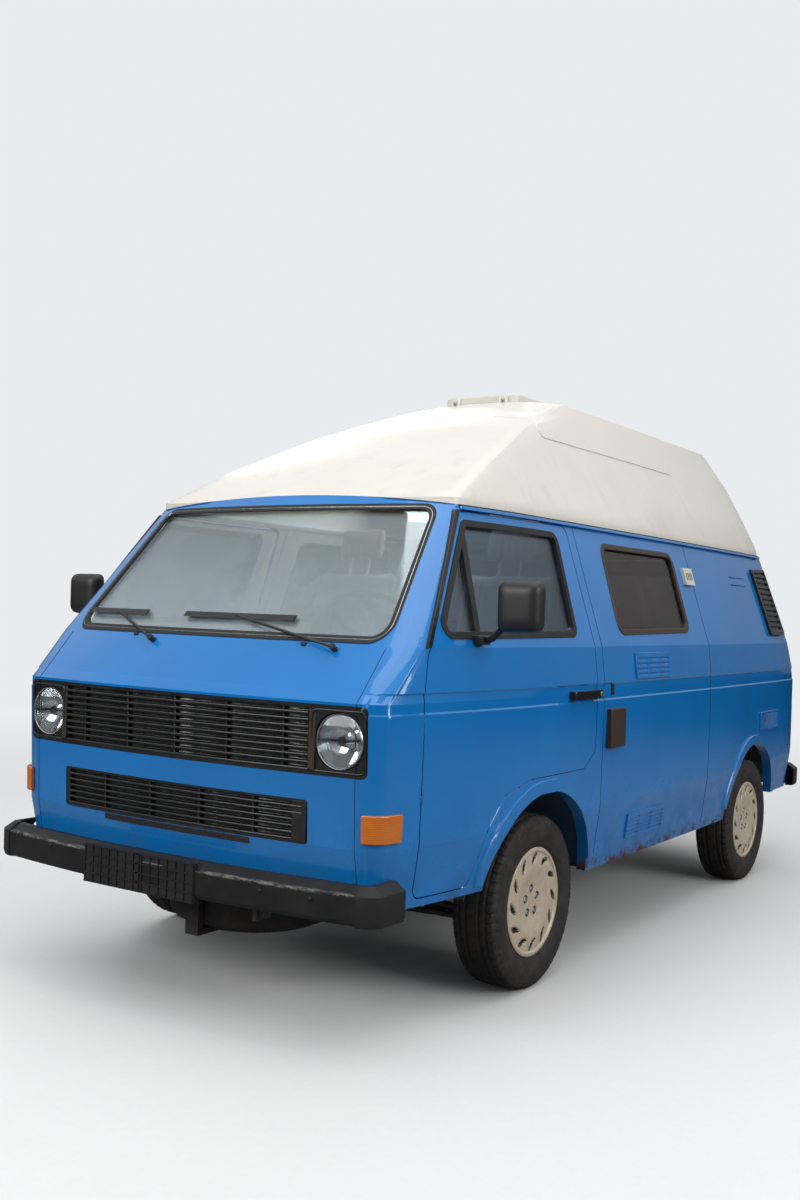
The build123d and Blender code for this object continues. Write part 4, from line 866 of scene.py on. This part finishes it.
# Tyres: ribbed road tyres with blocks on their shoulders and plain side walls gone brown.
tyre_rubber = mottled("tyre_rubber", "tyre", (16.0, 5.0, 0.7, 0.7), (0.014, 0.013, 0.013),
                      (0.075, 0.055, 0.038), (180.0, 4.0, 0.0006, 0.5), (0.35, 0.85), (0.62, 0.25))
TYRE_PROFILE = np.array([
    # across from the middle, radius
    (0.0655, 0.1745), (0.0695, 0.1930), (0.0760, 0.2020), (0.0835, 0.2120), (0.0870, 0.2230),
    (0.0905, 0.2380), (0.0925, 0.2520), (0.0923, 0.2660), (0.0905, 0.2800), (0.0890, 0.2850),
    (0.0895, 0.2870), (0.0870, 0.2960), (0.0830, 0.3060), (0.0780, 0.3130), (0.0700, 0.3172),
    (0.0600, 0.3188), (0.0400, 0.3197), (0.0200, 0.3200), (0.0, 0.3200),
])
BLOCKS, BLOCK_STEPS, PROFILE_STEPS = 56, 6, 55
GROOVE_DEPTH = 0.006
RIB_GROOVES, GROOVE_HALF = (0.026, 0.0545), 0.0035
AXLE_HEIGHT = 0.320


def tyre_grid(x_centre, y_centre):
    """The profile turned about the axle, its tread cut by ribs' grooves and shoulder slots."""
    along = np.linspace(0, len(TYRE_PROFILE) - 1, PROFILE_STEPS)
    half = np.stack([np.interp(along, np.arange(len(TYRE_PROFILE)), TYRE_PROFILE[:, i]) for i in (0, 1)], 1)
    across, radius = np.concatenate([half, half[-2::-1] * (-1, 1)]).T
    turn = np.linspace(0, 2 * np.pi, BLOCKS * BLOCK_STEPS, endpoint=False)[:, None]
    place = turn * BLOCKS / (2 * np.pi)
    size = np.abs(across)
    rib = sum(np.abs(size - middle) < GROOVE_HALF for middle in RIB_GROOVES) * (radius > 0.310)
    shift = np.where(across > 0, 0.0, 0.5) + size * 6.0
    slot = ((place + shift) % 1.0 < 0.27) & (size > 0.058) & (radius > 0.292)
    sipe = ((place + across * 14.0) % 1.0 < 0.14) & (size < 0.052) & (radius > 0.31)
    deep = radius - GROOVE_DEPTH * np.minimum(rib * 1.0 + slot * 0.75 + sipe * 0.5, 1.0)
    points = np.stack([np.broadcast_to(across, deep.shape), deep * np.cos(turn), deep * np.sin(turn)], -1)
    return grid(points + (x_centre, y_centre, AXLE_HEIGHT), wrap_u=True)


WHEELS = [
    # name, axle's place across and along
    ("front_left", 0.7925, -1.195), ("front_right", -0.7925, -1.195),
    ("rear_left", 0.785, 1.266), ("rear_right", -0.785, 1.266),
]
for where, x, y in WHEELS:
    built(f"{where}_tread", [tyre_grid(x, y)], tyre_rubber, 32.0, body=f"wheel_{where}", node=f"tyre_{where}")

# Wheels: steel rims behind cream pressed covers with slots near the rim, and five bolts each.
wheel_cream = Finish("wheel_cream", "wheel_trim", Coat_Weight=0.3, Coat_Roughness=0.2)
brake_dust = wheel_cream.noise(24.0, 5.0, 0.7).rise(0.42, 0.85)
shade = wheel_cream.mix(brake_dust * 0.55, (0.57, 0.48, 0.36), (0.27, 0.21, 0.15))
wheel_cream.set(Base_Color=shade, Roughness=0.30 + brake_dust * 0.35)
rim_steel = mottled("rim_steel", "wheel_trim", (30.0, 5.0, 1.0), (0.05, 0.045, 0.04), (0.16, 0.13, 0.10),
                    Roughness=0.5)
zinc = polished("zinc_bolts", (0.55, 0.55, 0.54), 0.25, 120.0, 0.3)
cover_shadow = Finish("cover_shadow", Roughness=0.9, Base_Color=(0.018, 0.016, 0.014))
LUGS, LUG_CIRCLE, LUG_SEAT = 5, 0.0465, 0.0585
CUP_DEPTH, CUP_RADIUS, CUP_WALL = 0.010, 0.0165, 0.003
# The cover, radius and height in mm: a dished middle, a shoulder, a ring of slots, a groove and
# a raised lip
COVER_FACE = np.array([(0, 70.5), (60, 70.0), (92, 76.0), (112, 80.2), (126, 81.4), (140, 80.8), (176, 77.2),
                       (181, 76.2), (184, 79.5), (187, 82.4), (193, 82.4), (197, 81.2), (200, 79.0)]) / 1000
COVER_BACK = np.array([(200, 76.6), (188, 75.5), (180, 70), (172, 64), (140, 60), (118, 58), (66, 52),
                       (0, 50)]) / 1000
COVER_TURNS = 276
SLOTS, SLOT_RING, SLOT_LEAN = 12, 0.157, math.radians(-46)
SLOT_HALF, SLOT_WIDE, SLOT_DEPTH = 0.030, 0.0140, 0.011


def eased(t):
    """Goes smoothly from 0 to 1."""
    t = np.clip(t, 0, 1)
    return t * t * (3 - 2 * t)


def from_ring(radii, turns, count, ring):
    """Offsets outwards and round from the nearest of several places on a ring."""
    step = 2 * np.pi / count
    along = (turns + step / 2) % step - step / 2
    return radii * np.cos(along) - ring, radii * np.sin(along)


def wheel_cover(x_centre, y_centre, side):
    """The cover's turned face with leaf-shaped slots and cups for the bolts pressed into it."""
    radii = np.concatenate([np.linspace(0, 26, 5), np.linspace(28, 66, 20), np.linspace(71, 126, 10),
                            np.linspace(128, 182, 30), COVER_FACE[-5:, 0] * 1000]) / 1000
    turns = np.linspace(0, 2 * np.pi, COVER_TURNS, endpoint=False)[:, None]
    out, across = from_ring(radii, turns, SLOTS, SLOT_RING)
    run = (out * math.cos(SLOT_LEAN) + across * math.sin(SLOT_LEAN)) / SLOT_HALF
    off = across * math.cos(SLOT_LEAN) - out * math.sin(SLOT_LEAN)
    half = SLOT_WIDE * np.clip(1 - run * run, 1e-6, 1) ** 0.7
    wall = np.where(off > 0, 0.35, 0.80)
    pressed = SLOT_DEPTH * eased((1 - np.abs(off) / half) / wall) * (np.abs(run) < 1)
    from_bolt = np.hypot(*from_ring(radii, turns, LUGS, LUG_CIRCLE))
    pressed = np.maximum(pressed, CUP_DEPTH * eased((CUP_RADIUS - from_bolt) / CUP_WALL))
    height = np.interp(radii, COVER_FACE[:, 0], COVER_FACE[:, 1]) - pressed
    back = np.broadcast_to(COVER_BACK[:, 1], (len(turns), len(COVER_BACK)))
    height = np.concatenate([height, back], axis=1)
    radii = np.concatenate([radii, COVER_BACK[:, 0]])
    points = np.stack([x_centre + side * height, y_centre - radii * np.sin(turns),
                       AXLE_HEIGHT + radii * np.cos(turns)], axis=-1)
    return grid(points, wrap_u=True)


BOLT_HEAD = [(0.0, 0.0100), (0.009, 0.0100), (0.011, 0.0085), (0.0115, 0.0)]
CUP_SUNK, SLOT_SUNK = 0.0035, 0.0050
for where, x, y in WHEELS:
    side, node = np.sign(x), f"wheel_{where}"
    dressed(node, f"{where}_rim", rim_steel, 30.0, 0.001, body=node,
            chosen=lambda middle, size: size[0] > 0.1)
    face = wheel_cover(x, y, side)
    cover = built(f"{where}_wheel_cover", [face], wheel_cream, 42.0, body=node, node=node).data
    middles = read(cover.polygons, "center", 3)
    radius = np.hypot(middles[:, 1] - y, middles[:, 2] - AXLE_HEIGHT)
    sunk = np.interp(radius, COVER_FACE[:, 0], COVER_FACE[:, 1]) - np.abs(middles[:, 0] - x)
    parted(cover, cover_shadow, sunk > np.where(radius < 0.1, CUP_SUNK, SLOT_SUNK))
    bolts = []
    for turn in np.arange(LUGS) * 2 * math.pi / LUGS:
        across, up = LUG_CIRCLE * math.sin(turn), LUG_CIRCLE * math.cos(turn)
        place = (x + side * LUG_SEAT, y - across, AXLE_HEIGHT + up)
        bolts.append(spun([(side * a, r) for a, r in BOLT_HEAD], place, 6))
    built(f"{where}_wheel_bolts", bolts, zinc, 25.0, body=node)

# Vents: black intakes with slats on the rear pillars, a cream plastic vent with four holes filled
# with black blocks as painted shade, a brown flue cover, and louvred panels in body colour on the left side.
wiper_black = mottled("wiper_black", "black_plastic", (40.0, 4.0, 0.5), (0.010, 0.010, 0.011),
                      (0.05, 0.048, 0.046), Roughness=0.45)
dressed("side_vents", "pillar_intakes", grille_plastic, 30.0, 0.0015, chosen=tall)
dressed("side_vents", "cream_vent", lid_plastic, 30.0, 0.0015,
        chosen=lambda middle, size: not tall(middle, size) and middle[2] > 1.3)
flue_x = float(body_x(0.565 - AXLE_TO_MIDDLE, 0.93))
built("flue_cover", [axle_block(flue_x - 0.002, 0.944, 0.492, 0.638, 0.855, 1.012)], brown_frame, 30.0, 0.003)
# Painted shade: black blocks in the vent's four holes, where they open into the dark.
hole_shade_blocks = []
for i in range(4):
    y = np.linspace(1.599, 1.609, 4) + i * 0.022 - AXLE_TO_MIDDLE
    ring = [on_side(y, np.full_like(y, z), rise)
            for z, rise in ((1.570, 0.0), (1.570, 0.0182), (1.605, 0.0182), (1.605, 0.0))]
    hole_shade_blocks.append(grid(np.stack(ring, axis=1), wrap_v=True, caps=True))
built("cream_vent_hole_shade", hole_shade_blocks, wiper_black, 30.0)
dressed("side_louvres", "louvred_vents", body_paint, 30.0, 0.0012)
dressed("slide_rail", "slide_rail_cover", body_paint, 30.0, 0.0012)

# Door fittings: window seals, pull handles with a brass-coloured button, and tall mirrors in
# grained black housings on bent arms.
housing_black = mottled("housing_black", "black_plastic", (12.0, 4.0, 0.6), (0.012, 0.012, 0.013),
                        (0.035, 0.033, 0.031), (600.0, 2.0, 0.00015, 0.6), Roughness=0.42)
brass = polished("lock_brass", (0.55, 0.42, 0.20), 0.28, 150.0, 0.3)
silvering = Finish("mirror_silvering", Base_Color=(0.82, 0.85, 0.86), Metallic=1.0)
silvering.set(Roughness=0.02 + silvering.noise(8.0, 4.0).rise(0.5, 0.9) * 0.12)
HANDLE_BUTTON = [(0.0, 0.0115), (0.0035, 0.0115), (0.0045, 0.0100), (0.0045, 0.0)]
BUTTON_X, BUTTON_Y, BUTTON_Z = 0.946, 0.380 - AXLE_TO_MIDDLE, 1.078
MIRROR_ARM = np.array([(0.884, -0.461, 1.287), (0.905, -0.462, 1.289), (0.926, -0.466, 1.297),
                       (0.944, -0.472, 1.309), (0.962, -0.480, 1.326)])
MIRROR_RINGS = [
    # y behind the front axle, inset of the outline
    (-0.466, 0.0125), (-0.4625, 0.0115), (-0.462, 0.0030), (-0.464, 0.0), (-0.486, 0.0005), (-0.499, 0.003),
    (-0.509, 0.009), (-0.516, 0.019), (-0.5195, 0.034), (-0.520, 0.050),
]


def mirror_part(side, rings):
    """A closed form through the mirror head's outline, taller than wide, at places and insets."""
    loops = []
    for y, inset in rings:
        corners = [(0.957 + inset, 1.316 + inset), (1.116 - inset, 1.322 + inset),
                   (1.118 - inset, 1.490 - inset), (0.955 + inset, 1.490 - inset)]
        loop = round_loop(corners, 0.034 - inset * 0.4, 64)
        loops.append(np.stack([side * loop[:, 0], np.full(64, y - AXLE_TO_MIDDLE), loop[:, 1]], axis=1))
    return grid(np.stack(loops), wrap_v=True, caps=True)


for side, word in ((1, "left"), (-1, "right")):
    body, node = f"{word}_door", f"{word}_door_fittings"
    dressed(node, f"{word}_window_seal", rubber, 35.0, 0.003, body=body, chosen=tall)
    dressed(node, f"{word}_door_handle", black_gloss, 30.0, 0.005, 3, body,
            chosen=lambda middle, size: size[2] < 0.1)
    button = spun([(side * a, r) for a, r in HANDLE_BUTTON], (side * BUTTON_X, BUTTON_Y, BUTTON_Z), 24)
    built(f"{word}_handle_button", [button], brass, 30.0, body=body)
    arm = carried(MIRROR_ARM * (side, 1, 1) - (0, AXLE_TO_MIDDLE, 0), oval(0.016, 0.024, 14))
    built(f"{word}_mirror_housing", [mirror_part(side, MIRROR_RINGS), arm], housing_black, 40.0, body=body)
    x0, x1 = sorted((side * 0.856, side * 0.900))
    foot = axle_block(x0, x1, -0.490, -0.432, 1.272, 1.304)
    built(f"{word}_mirror_foot", [foot], housing_black, 30.0, 0.006, 3, body)
    glass = mirror_part(side, [(-0.4655, 0.0128), (-0.4640, 0.0128)])
    built(f"{word}_mirror_glass", [glass], silvering, 30.0, body=body)
dressed("tailgate_fittings", "tailgate_seal", rubber, 35.0, 0.003, body="tailgate", chosen=tall)
dressed("tailgate_fittings", "tailgate_handle", black_gloss, 30.0, 0.005, 3, "tailgate",
        chosen=lambda middle, size: not tall(middle, size))

# Wipers, washer jets, a rubber stop behind the door, and dark lines where panels meet as painted shade.
dressed("wipers", "wiper_arms_and_blades", wiper_black, 35.0, 0.0008)
JETS = [(-0.326, 1.262), (0.439, 1.257)]
jets = []
for x, z in JETS:
    y = float(body_nose(x, z))
    jets.append(block(x - 0.010, x + 0.010, y - 0.006, y + 0.012, z - 0.006, z + 0.006))
built("washer_jets", jets, wiper_black, 30.0, 0.003)
stop_x = float(body_x(0.540 - AXLE_TO_MIDDLE, 1.090))
stop = axle_block(stop_x - 0.004, stop_x + 0.010, 0.532, 0.548, 1.068, 1.112)
built("rubber_stop", [stop], rubber, 30.0, 0.004, 3)
# Painted shade: thin lines in the body's blue darkened, laid along the gaps where panels meet.
seam_shadow = mottled("seam_shadow", None, (30.0, 3.0, 1.0), (0.003, 0.012, 0.035), (0.006, 0.020, 0.05),
                    Roughness=0.8)
z = np.linspace(0.430, 1.256, 120)
seam_shadows = [carried(on_nose(np.full_like(z, x), z), oval(0.0034, 0.0016, 6), False, (1, 0, 0))
         for x in (-0.733, 0.733)]
z = np.linspace(0.400, 1.735, 160)
for y in (0.463, 1.705):
    path = on_side(np.full_like(z, y - AXLE_TO_MIDDLE), z)
    seam_shadows.append(carried(path, oval(0.0014, 0.0026, 6), False, (1, 0, 0)))
built("panel_seam_shadows", seam_shadows, seam_shadow, 60.0)

# Grille details: a plain end block, a black strip under the lower grille, dividers beside the
# lamps whose brown is painted reflection, and a raised square edge round each lamp's recess.


def strip(x0, x1, z0, z1, rise):
    """A flat bar laid across the nose, so far proud of it."""
    x = np.linspace(x0, x1, 24)
    z = np.full_like(x, (z0 + z1) / 2)
    half = (z1 - z0) / 2
    section = [(-0.006, -half), (rise, -half), (rise, half), (-0.006, half)]
    return carried(on_nose(x, z), section)


built("grille_blocks", [strip(0.503, 0.557, 0.631, 0.762, 0.002), strip(-0.337, 0.333, 0.603, 0.6235, 0.003)],
      grille_plastic, 30.0, 0.001)
# Painted reflection: the dividers are real strips, given the brown of the reflection they show.
DIVIDER_X = 0.574
built("lamp_dividers", [strip(x - 0.012, x + 0.012, 0.868, 1.058, 0.001) for x in (-DIVIDER_X, DIVIDER_X)],
      brown_frame, 30.0, 0.001)
RECESS_HALF_X, RECESS_HALF_Z = 0.0965, 0.0975
edges = []
for lamp_x in (-LAMP_X, LAMP_X):
    corners = [(lamp_x + a * RECESS_HALF_X, LAMP_Z + b * RECESS_HALF_Z)
               for a, b in ((-1, -1), (1, -1), (1, 1), (-1, 1))]
    path = on_nose(*round_loop(corners, 0.022, 120).T, 0.001)
    edges.append(carried(path, oval(0.007, 0.005, 8), True, (0, -1, 0)))
built("lamp_recess_edges", edges, grille_plastic, 60.0)

# Underneath: pressings under wax and road dust, black suspension, a bare cast engine and
# gearbox, and a dull exhaust.
ROAD_DUST = (0.10, 0.085, 0.065)


def weathered(name, slot, dark, light, metallic, rough):
    """Metal with a mottled colour and dust that lies in patches."""
    made = Finish(name, slot, Metallic=metallic)
    mottle = made.noise(20.0, 5.0, 0.65)
    dusty = made.noise(6.0, 4.0).rise(0.45, 0.8)
    base = made.mix(mottle, dark, light)
    return made.set(Base_Color=made.mix(dusty * 0.6, base, ROAD_DUST), Roughness=rough + dusty * 0.25,
                    Normal=made.bump(made.noise(160.0, 4.0), 0.0005, 0.5))


waxed = weathered("waxed_pressing", "underbody", (0.010, 0.05, 0.12), (0.020, 0.05, 0.09), 0.0, 0.5)
painted_black = weathered("painted_black", "black_metal", (0.010, 0.010, 0.011), (0.04, 0.036, 0.033),
                          0.0, 0.45)
cast_iron = weathered("cast_iron", "cast_iron", (0.06, 0.055, 0.05), (0.14, 0.12, 0.10), 0.6, 0.55)
alloy = weathered("cast_alloy", "alloy", (0.28, 0.28, 0.27), (0.42, 0.41, 0.39), 0.9, 0.42)
exhaust_steel = weathered("exhaust_steel", "exhaust_steel", (0.16, 0.10, 0.07), (0.34, 0.30, 0.27), 0.8, 0.45)
UNDERNEATH = [
    # node, piece, finish, body, bevel, and slot where it isn't the finish's own
    ("floor_pan", "floor_pressing", waxed, "root", 0.003, None),
    ("front_suspension", "front_wishbones", painted_black, "root", 0.003, None),
    ("rear_suspension", "rear_arms", painted_black, "root", 0.003, None),
    ("steering_rack", "rack_housing", cast_iron, "root", 0.002, "black_metal"),
    ("tie_rods", "rack_and_tie_rods", painted_black, "tie_rods", 0.0015, None),
    ("left_knuckle", "left_steering_knuckle", cast_iron, "left_knuckle", 0.002, None),
    ("right_knuckle", "right_steering_knuckle", cast_iron, "right_knuckle", 0.002, None),
    ("engine_block", "engine_casting", cast_iron, "root", 0.006, None),
    ("gearbox", "gearbox_casting", alloy, "root", 0.005, None),
    ("fuel_tank", "fuel_tank_shell", painted_black, "root", 0.012, None),
    ("exhaust", "silencer_and_pipe", exhaust_steel, "root", 0.003, None),
    ("spare_wheel", "spare_wheel_and_tray", tyre_rubber, "root", 0.003, None),
    ("towing_eyes", "towing_eye_plates", painted_black, "root", 0.002, None),
]
for node, name, finish, body, bevel, slot in UNDERNEATH:
    dressed(node, name, finish, 30.0, bevel, body=body)
# The flat sides of the rear stub axles stay inside the wheels' bores as those turn.
REAR_AXLE_Y = WHEELS[2][2]
STUB_REACH, STUB_FROM_X, STUB_SHRINK = 0.0206, 0.65, 0.965
for corner in bpy.data.objects["rear_arms"].data.vertices:
    y, z = corner.co.y - REAR_AXLE_Y, corner.co.z - AXLE_HEIGHT
    if math.hypot(y, z) < STUB_REACH and abs(corner.co.x) > STUB_FROM_X:
        corner.co.y, corner.co.z = REAR_AXLE_Y + y * STUB_SHRINK, AXLE_HEIGHT + z * STUB_SHRINK

# Inside: black vinyl dashboard and steering wheel, board cupboards, and cloth seats whose
# cushions are blown up a little as cloth and pressed in along their sewn channels.
vinyl = mottled("black_vinyl", "black_plastic", (9.0, 4.0, 0.6), (0.035, 0.034, 0.033),
                (0.085, 0.080, 0.075), Roughness=0.55)
leathery = vinyl.node("ShaderNodeTexVoronoi", {}, {"Vector": vinyl.place, "Scale": 380.0})
vinyl.set(Normal=vinyl.bump(leathery, 0.0003, 0.4))
dressed("dashboard", "dashboard_and_column", vinyl, 30.0, 0.008, 3)
dressed("steering_wheel", "steering_wheel_rim", vinyl, 40.0, body="steering_wheel")
board = mottled("cupboard_board", "cupboard", (9.0, 5.0, 1.0, 0.6, (1, 1, 0.08), 0.6), (0.25, 0.15, 0.07),
                (0.46, 0.31, 0.17), Roughness=0.45, Coat_Weight=0.2)
dressed("kitchen_unit", "kitchen_cupboard", board, 30.0, 0.004)
dressed("wardrobe", "wardrobe_cupboard", board, 30.0, 0.004)

seat_cloth = Finish("seat_cloth", "seat_cloth", Roughness=0.92, Sheen_Weight=0.25)
heather = seat_cloth.mix(seat_cloth.noise(420.0, 3.0), (0.20, 0.18, 0.155), (0.34, 0.30, 0.26))
stripes = seat_cloth.waves("X", 9.0).rise(0.80, 0.95) * 0.5
seat_cloth.set(Base_Color=seat_cloth.mix(stripes, heather, (0.10, 0.06, 0.035)),
               Normal=seat_cloth.bump(seat_cloth.waves("X", 260.0, 2.0), 0.0006, 0.6))
CUSHION_CELL = 0.014
CUSHION_EDGE = 0.030
PUFF_STEPS = 14
CHANNEL_DEPTH, CHANNEL_HALF = 0.007, 0.009


def shape_of(piece):
    """The piece with its modifiers, as they stand at this frame."""
    return piece.evaluated_get(bpy.context.evaluated_depsgraph_get())


def stuffed(name, x0, x1, outline, cap, channels):
    """A cushion from its side outline, in axle places, that swells at most so far as cloth."""
    count = len(outline)
    points = [(x, y - AXLE_TO_MIDDLE, z) for x in (x0, x1) for y, z in outline]
    faces = [list(range(count))[::-1], list(range(count, 2 * count))]
    faces += [[i, (i + 1) % count, count + (i + 1) % count, count + i] for i in range(count)]
    piece = built(name, [(points, faces)], seat_cloth, 60.0)
    rounded(piece, CUSHION_EDGE, 4)
    cells = piece.modifiers.new("cells", "REMESH")
    cells.mode, cells.voxel_size = "VOXEL", CUSHION_CELL
    piece.data = bpy.data.meshes.new_from_object(shape_of(piece))
    piece.modifiers.clear()
    start = read(piece.data.vertices, "co", 3)
    cloth = piece.modifiers.new("stuffing", "CLOTH")
    cloth.settings.quality = 4
    cloth.settings.mass = 0.3
    cloth.settings.use_pressure = True
    cloth.settings.uniform_pressure_force = 4.0
    cloth.settings.effector_weights.gravity = 0.0
    for step in range(1, PUFF_STEPS + 1):
        scene.frame_set(step)
    move = read(shape_of(piece).data.vertices, "co", 3) - start
    piece.modifiers.clear()
    scene.frame_set(1)
    length = np.linalg.norm(move, axis=1, keepdims=True)
    start = start + move * np.minimum(1, cap / np.maximum(length, 1e-9))
    normals = read(piece.data.vertices, "normal", 3)
    for middle in channels:
        press = CHANNEL_DEPTH * np.exp(-((start[:, 0] - middle) / CHANNEL_HALF) ** 2)
        start = start - normals * press[:, None]
    piece.data.vertices.foreach_set("co", start.ravel())
    piece.data.update()
    piece.data.shade_smooth()
    finer = piece.modifiers.new("finer", "SUBSURF")
    finer.levels = finer.render_levels = 1
    return piece


SEAT_X, BASE_INNER, BASE_OUTER = 0.400, 0.190, 0.494
bases, posts = [], []
for side, word in ((1, "left"), (-1, "right")):
    x = side * SEAT_X
    ribs = [x - 0.10, x + 0.10]
    stuffed(f"{word}_seat_cushion", x - 0.238, x + 0.238,
            [(-0.048, 0.905), (0.400, 0.905), (0.400, 1.004), (-0.048, 1.004)], 0.014, ribs)
    stuffed(f"{word}_seat_back", x - 0.228, x + 0.228,
            [(0.418, 0.955), (0.494, 0.955), (0.628, 1.548), (0.570, 1.562)], 0.014, ribs)
    stuffed(f"{word}_head_rest", x - 0.120, x + 0.120,
            [(0.580, 1.608), (0.632, 1.608), (0.670, 1.750), (0.618, 1.758)], 0.008, [])
    x0, x1 = sorted((side * BASE_INNER, side * BASE_OUTER))
    bases.append(axle_block(x0, x1, 0.020, 0.420, 0.4865, 0.900))
    for shift in (-0.05, 0.05):
        run = [(x + shift, 0.594 - AXLE_TO_MIDDLE, 1.540), (x + shift, 0.622 - AXLE_TO_MIDDLE, 1.640)]
        posts.append(carried(run, oval(0.012, 0.012), False, (1, 0, 0)))
built("seat_bases", bases, vinyl, 30.0, 0.006, node="front_seats")
built("head_rest_posts", posts, zinc, 40.0)
stuffed("bench_cushion", -0.806, 0.406,
        [(1.752, 0.886), (2.262, 0.886), (2.262, 0.976), (1.752, 0.976)], 0.012, [-0.4, 0.0])
stuffed("bench_back", -0.766, 0.406,
        [(2.282, 0.900), (2.360, 0.900), (2.428, 1.316), (2.360, 1.316)], 0.012, [-0.4, 0.0])
bench_box = axle_block(-0.820, 0.420, 1.790, 2.0595, 0.4865, 0.8745)
built("bench_box", [bench_box], board, 30.0, 0.004, node="rear_bench")

low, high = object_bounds()
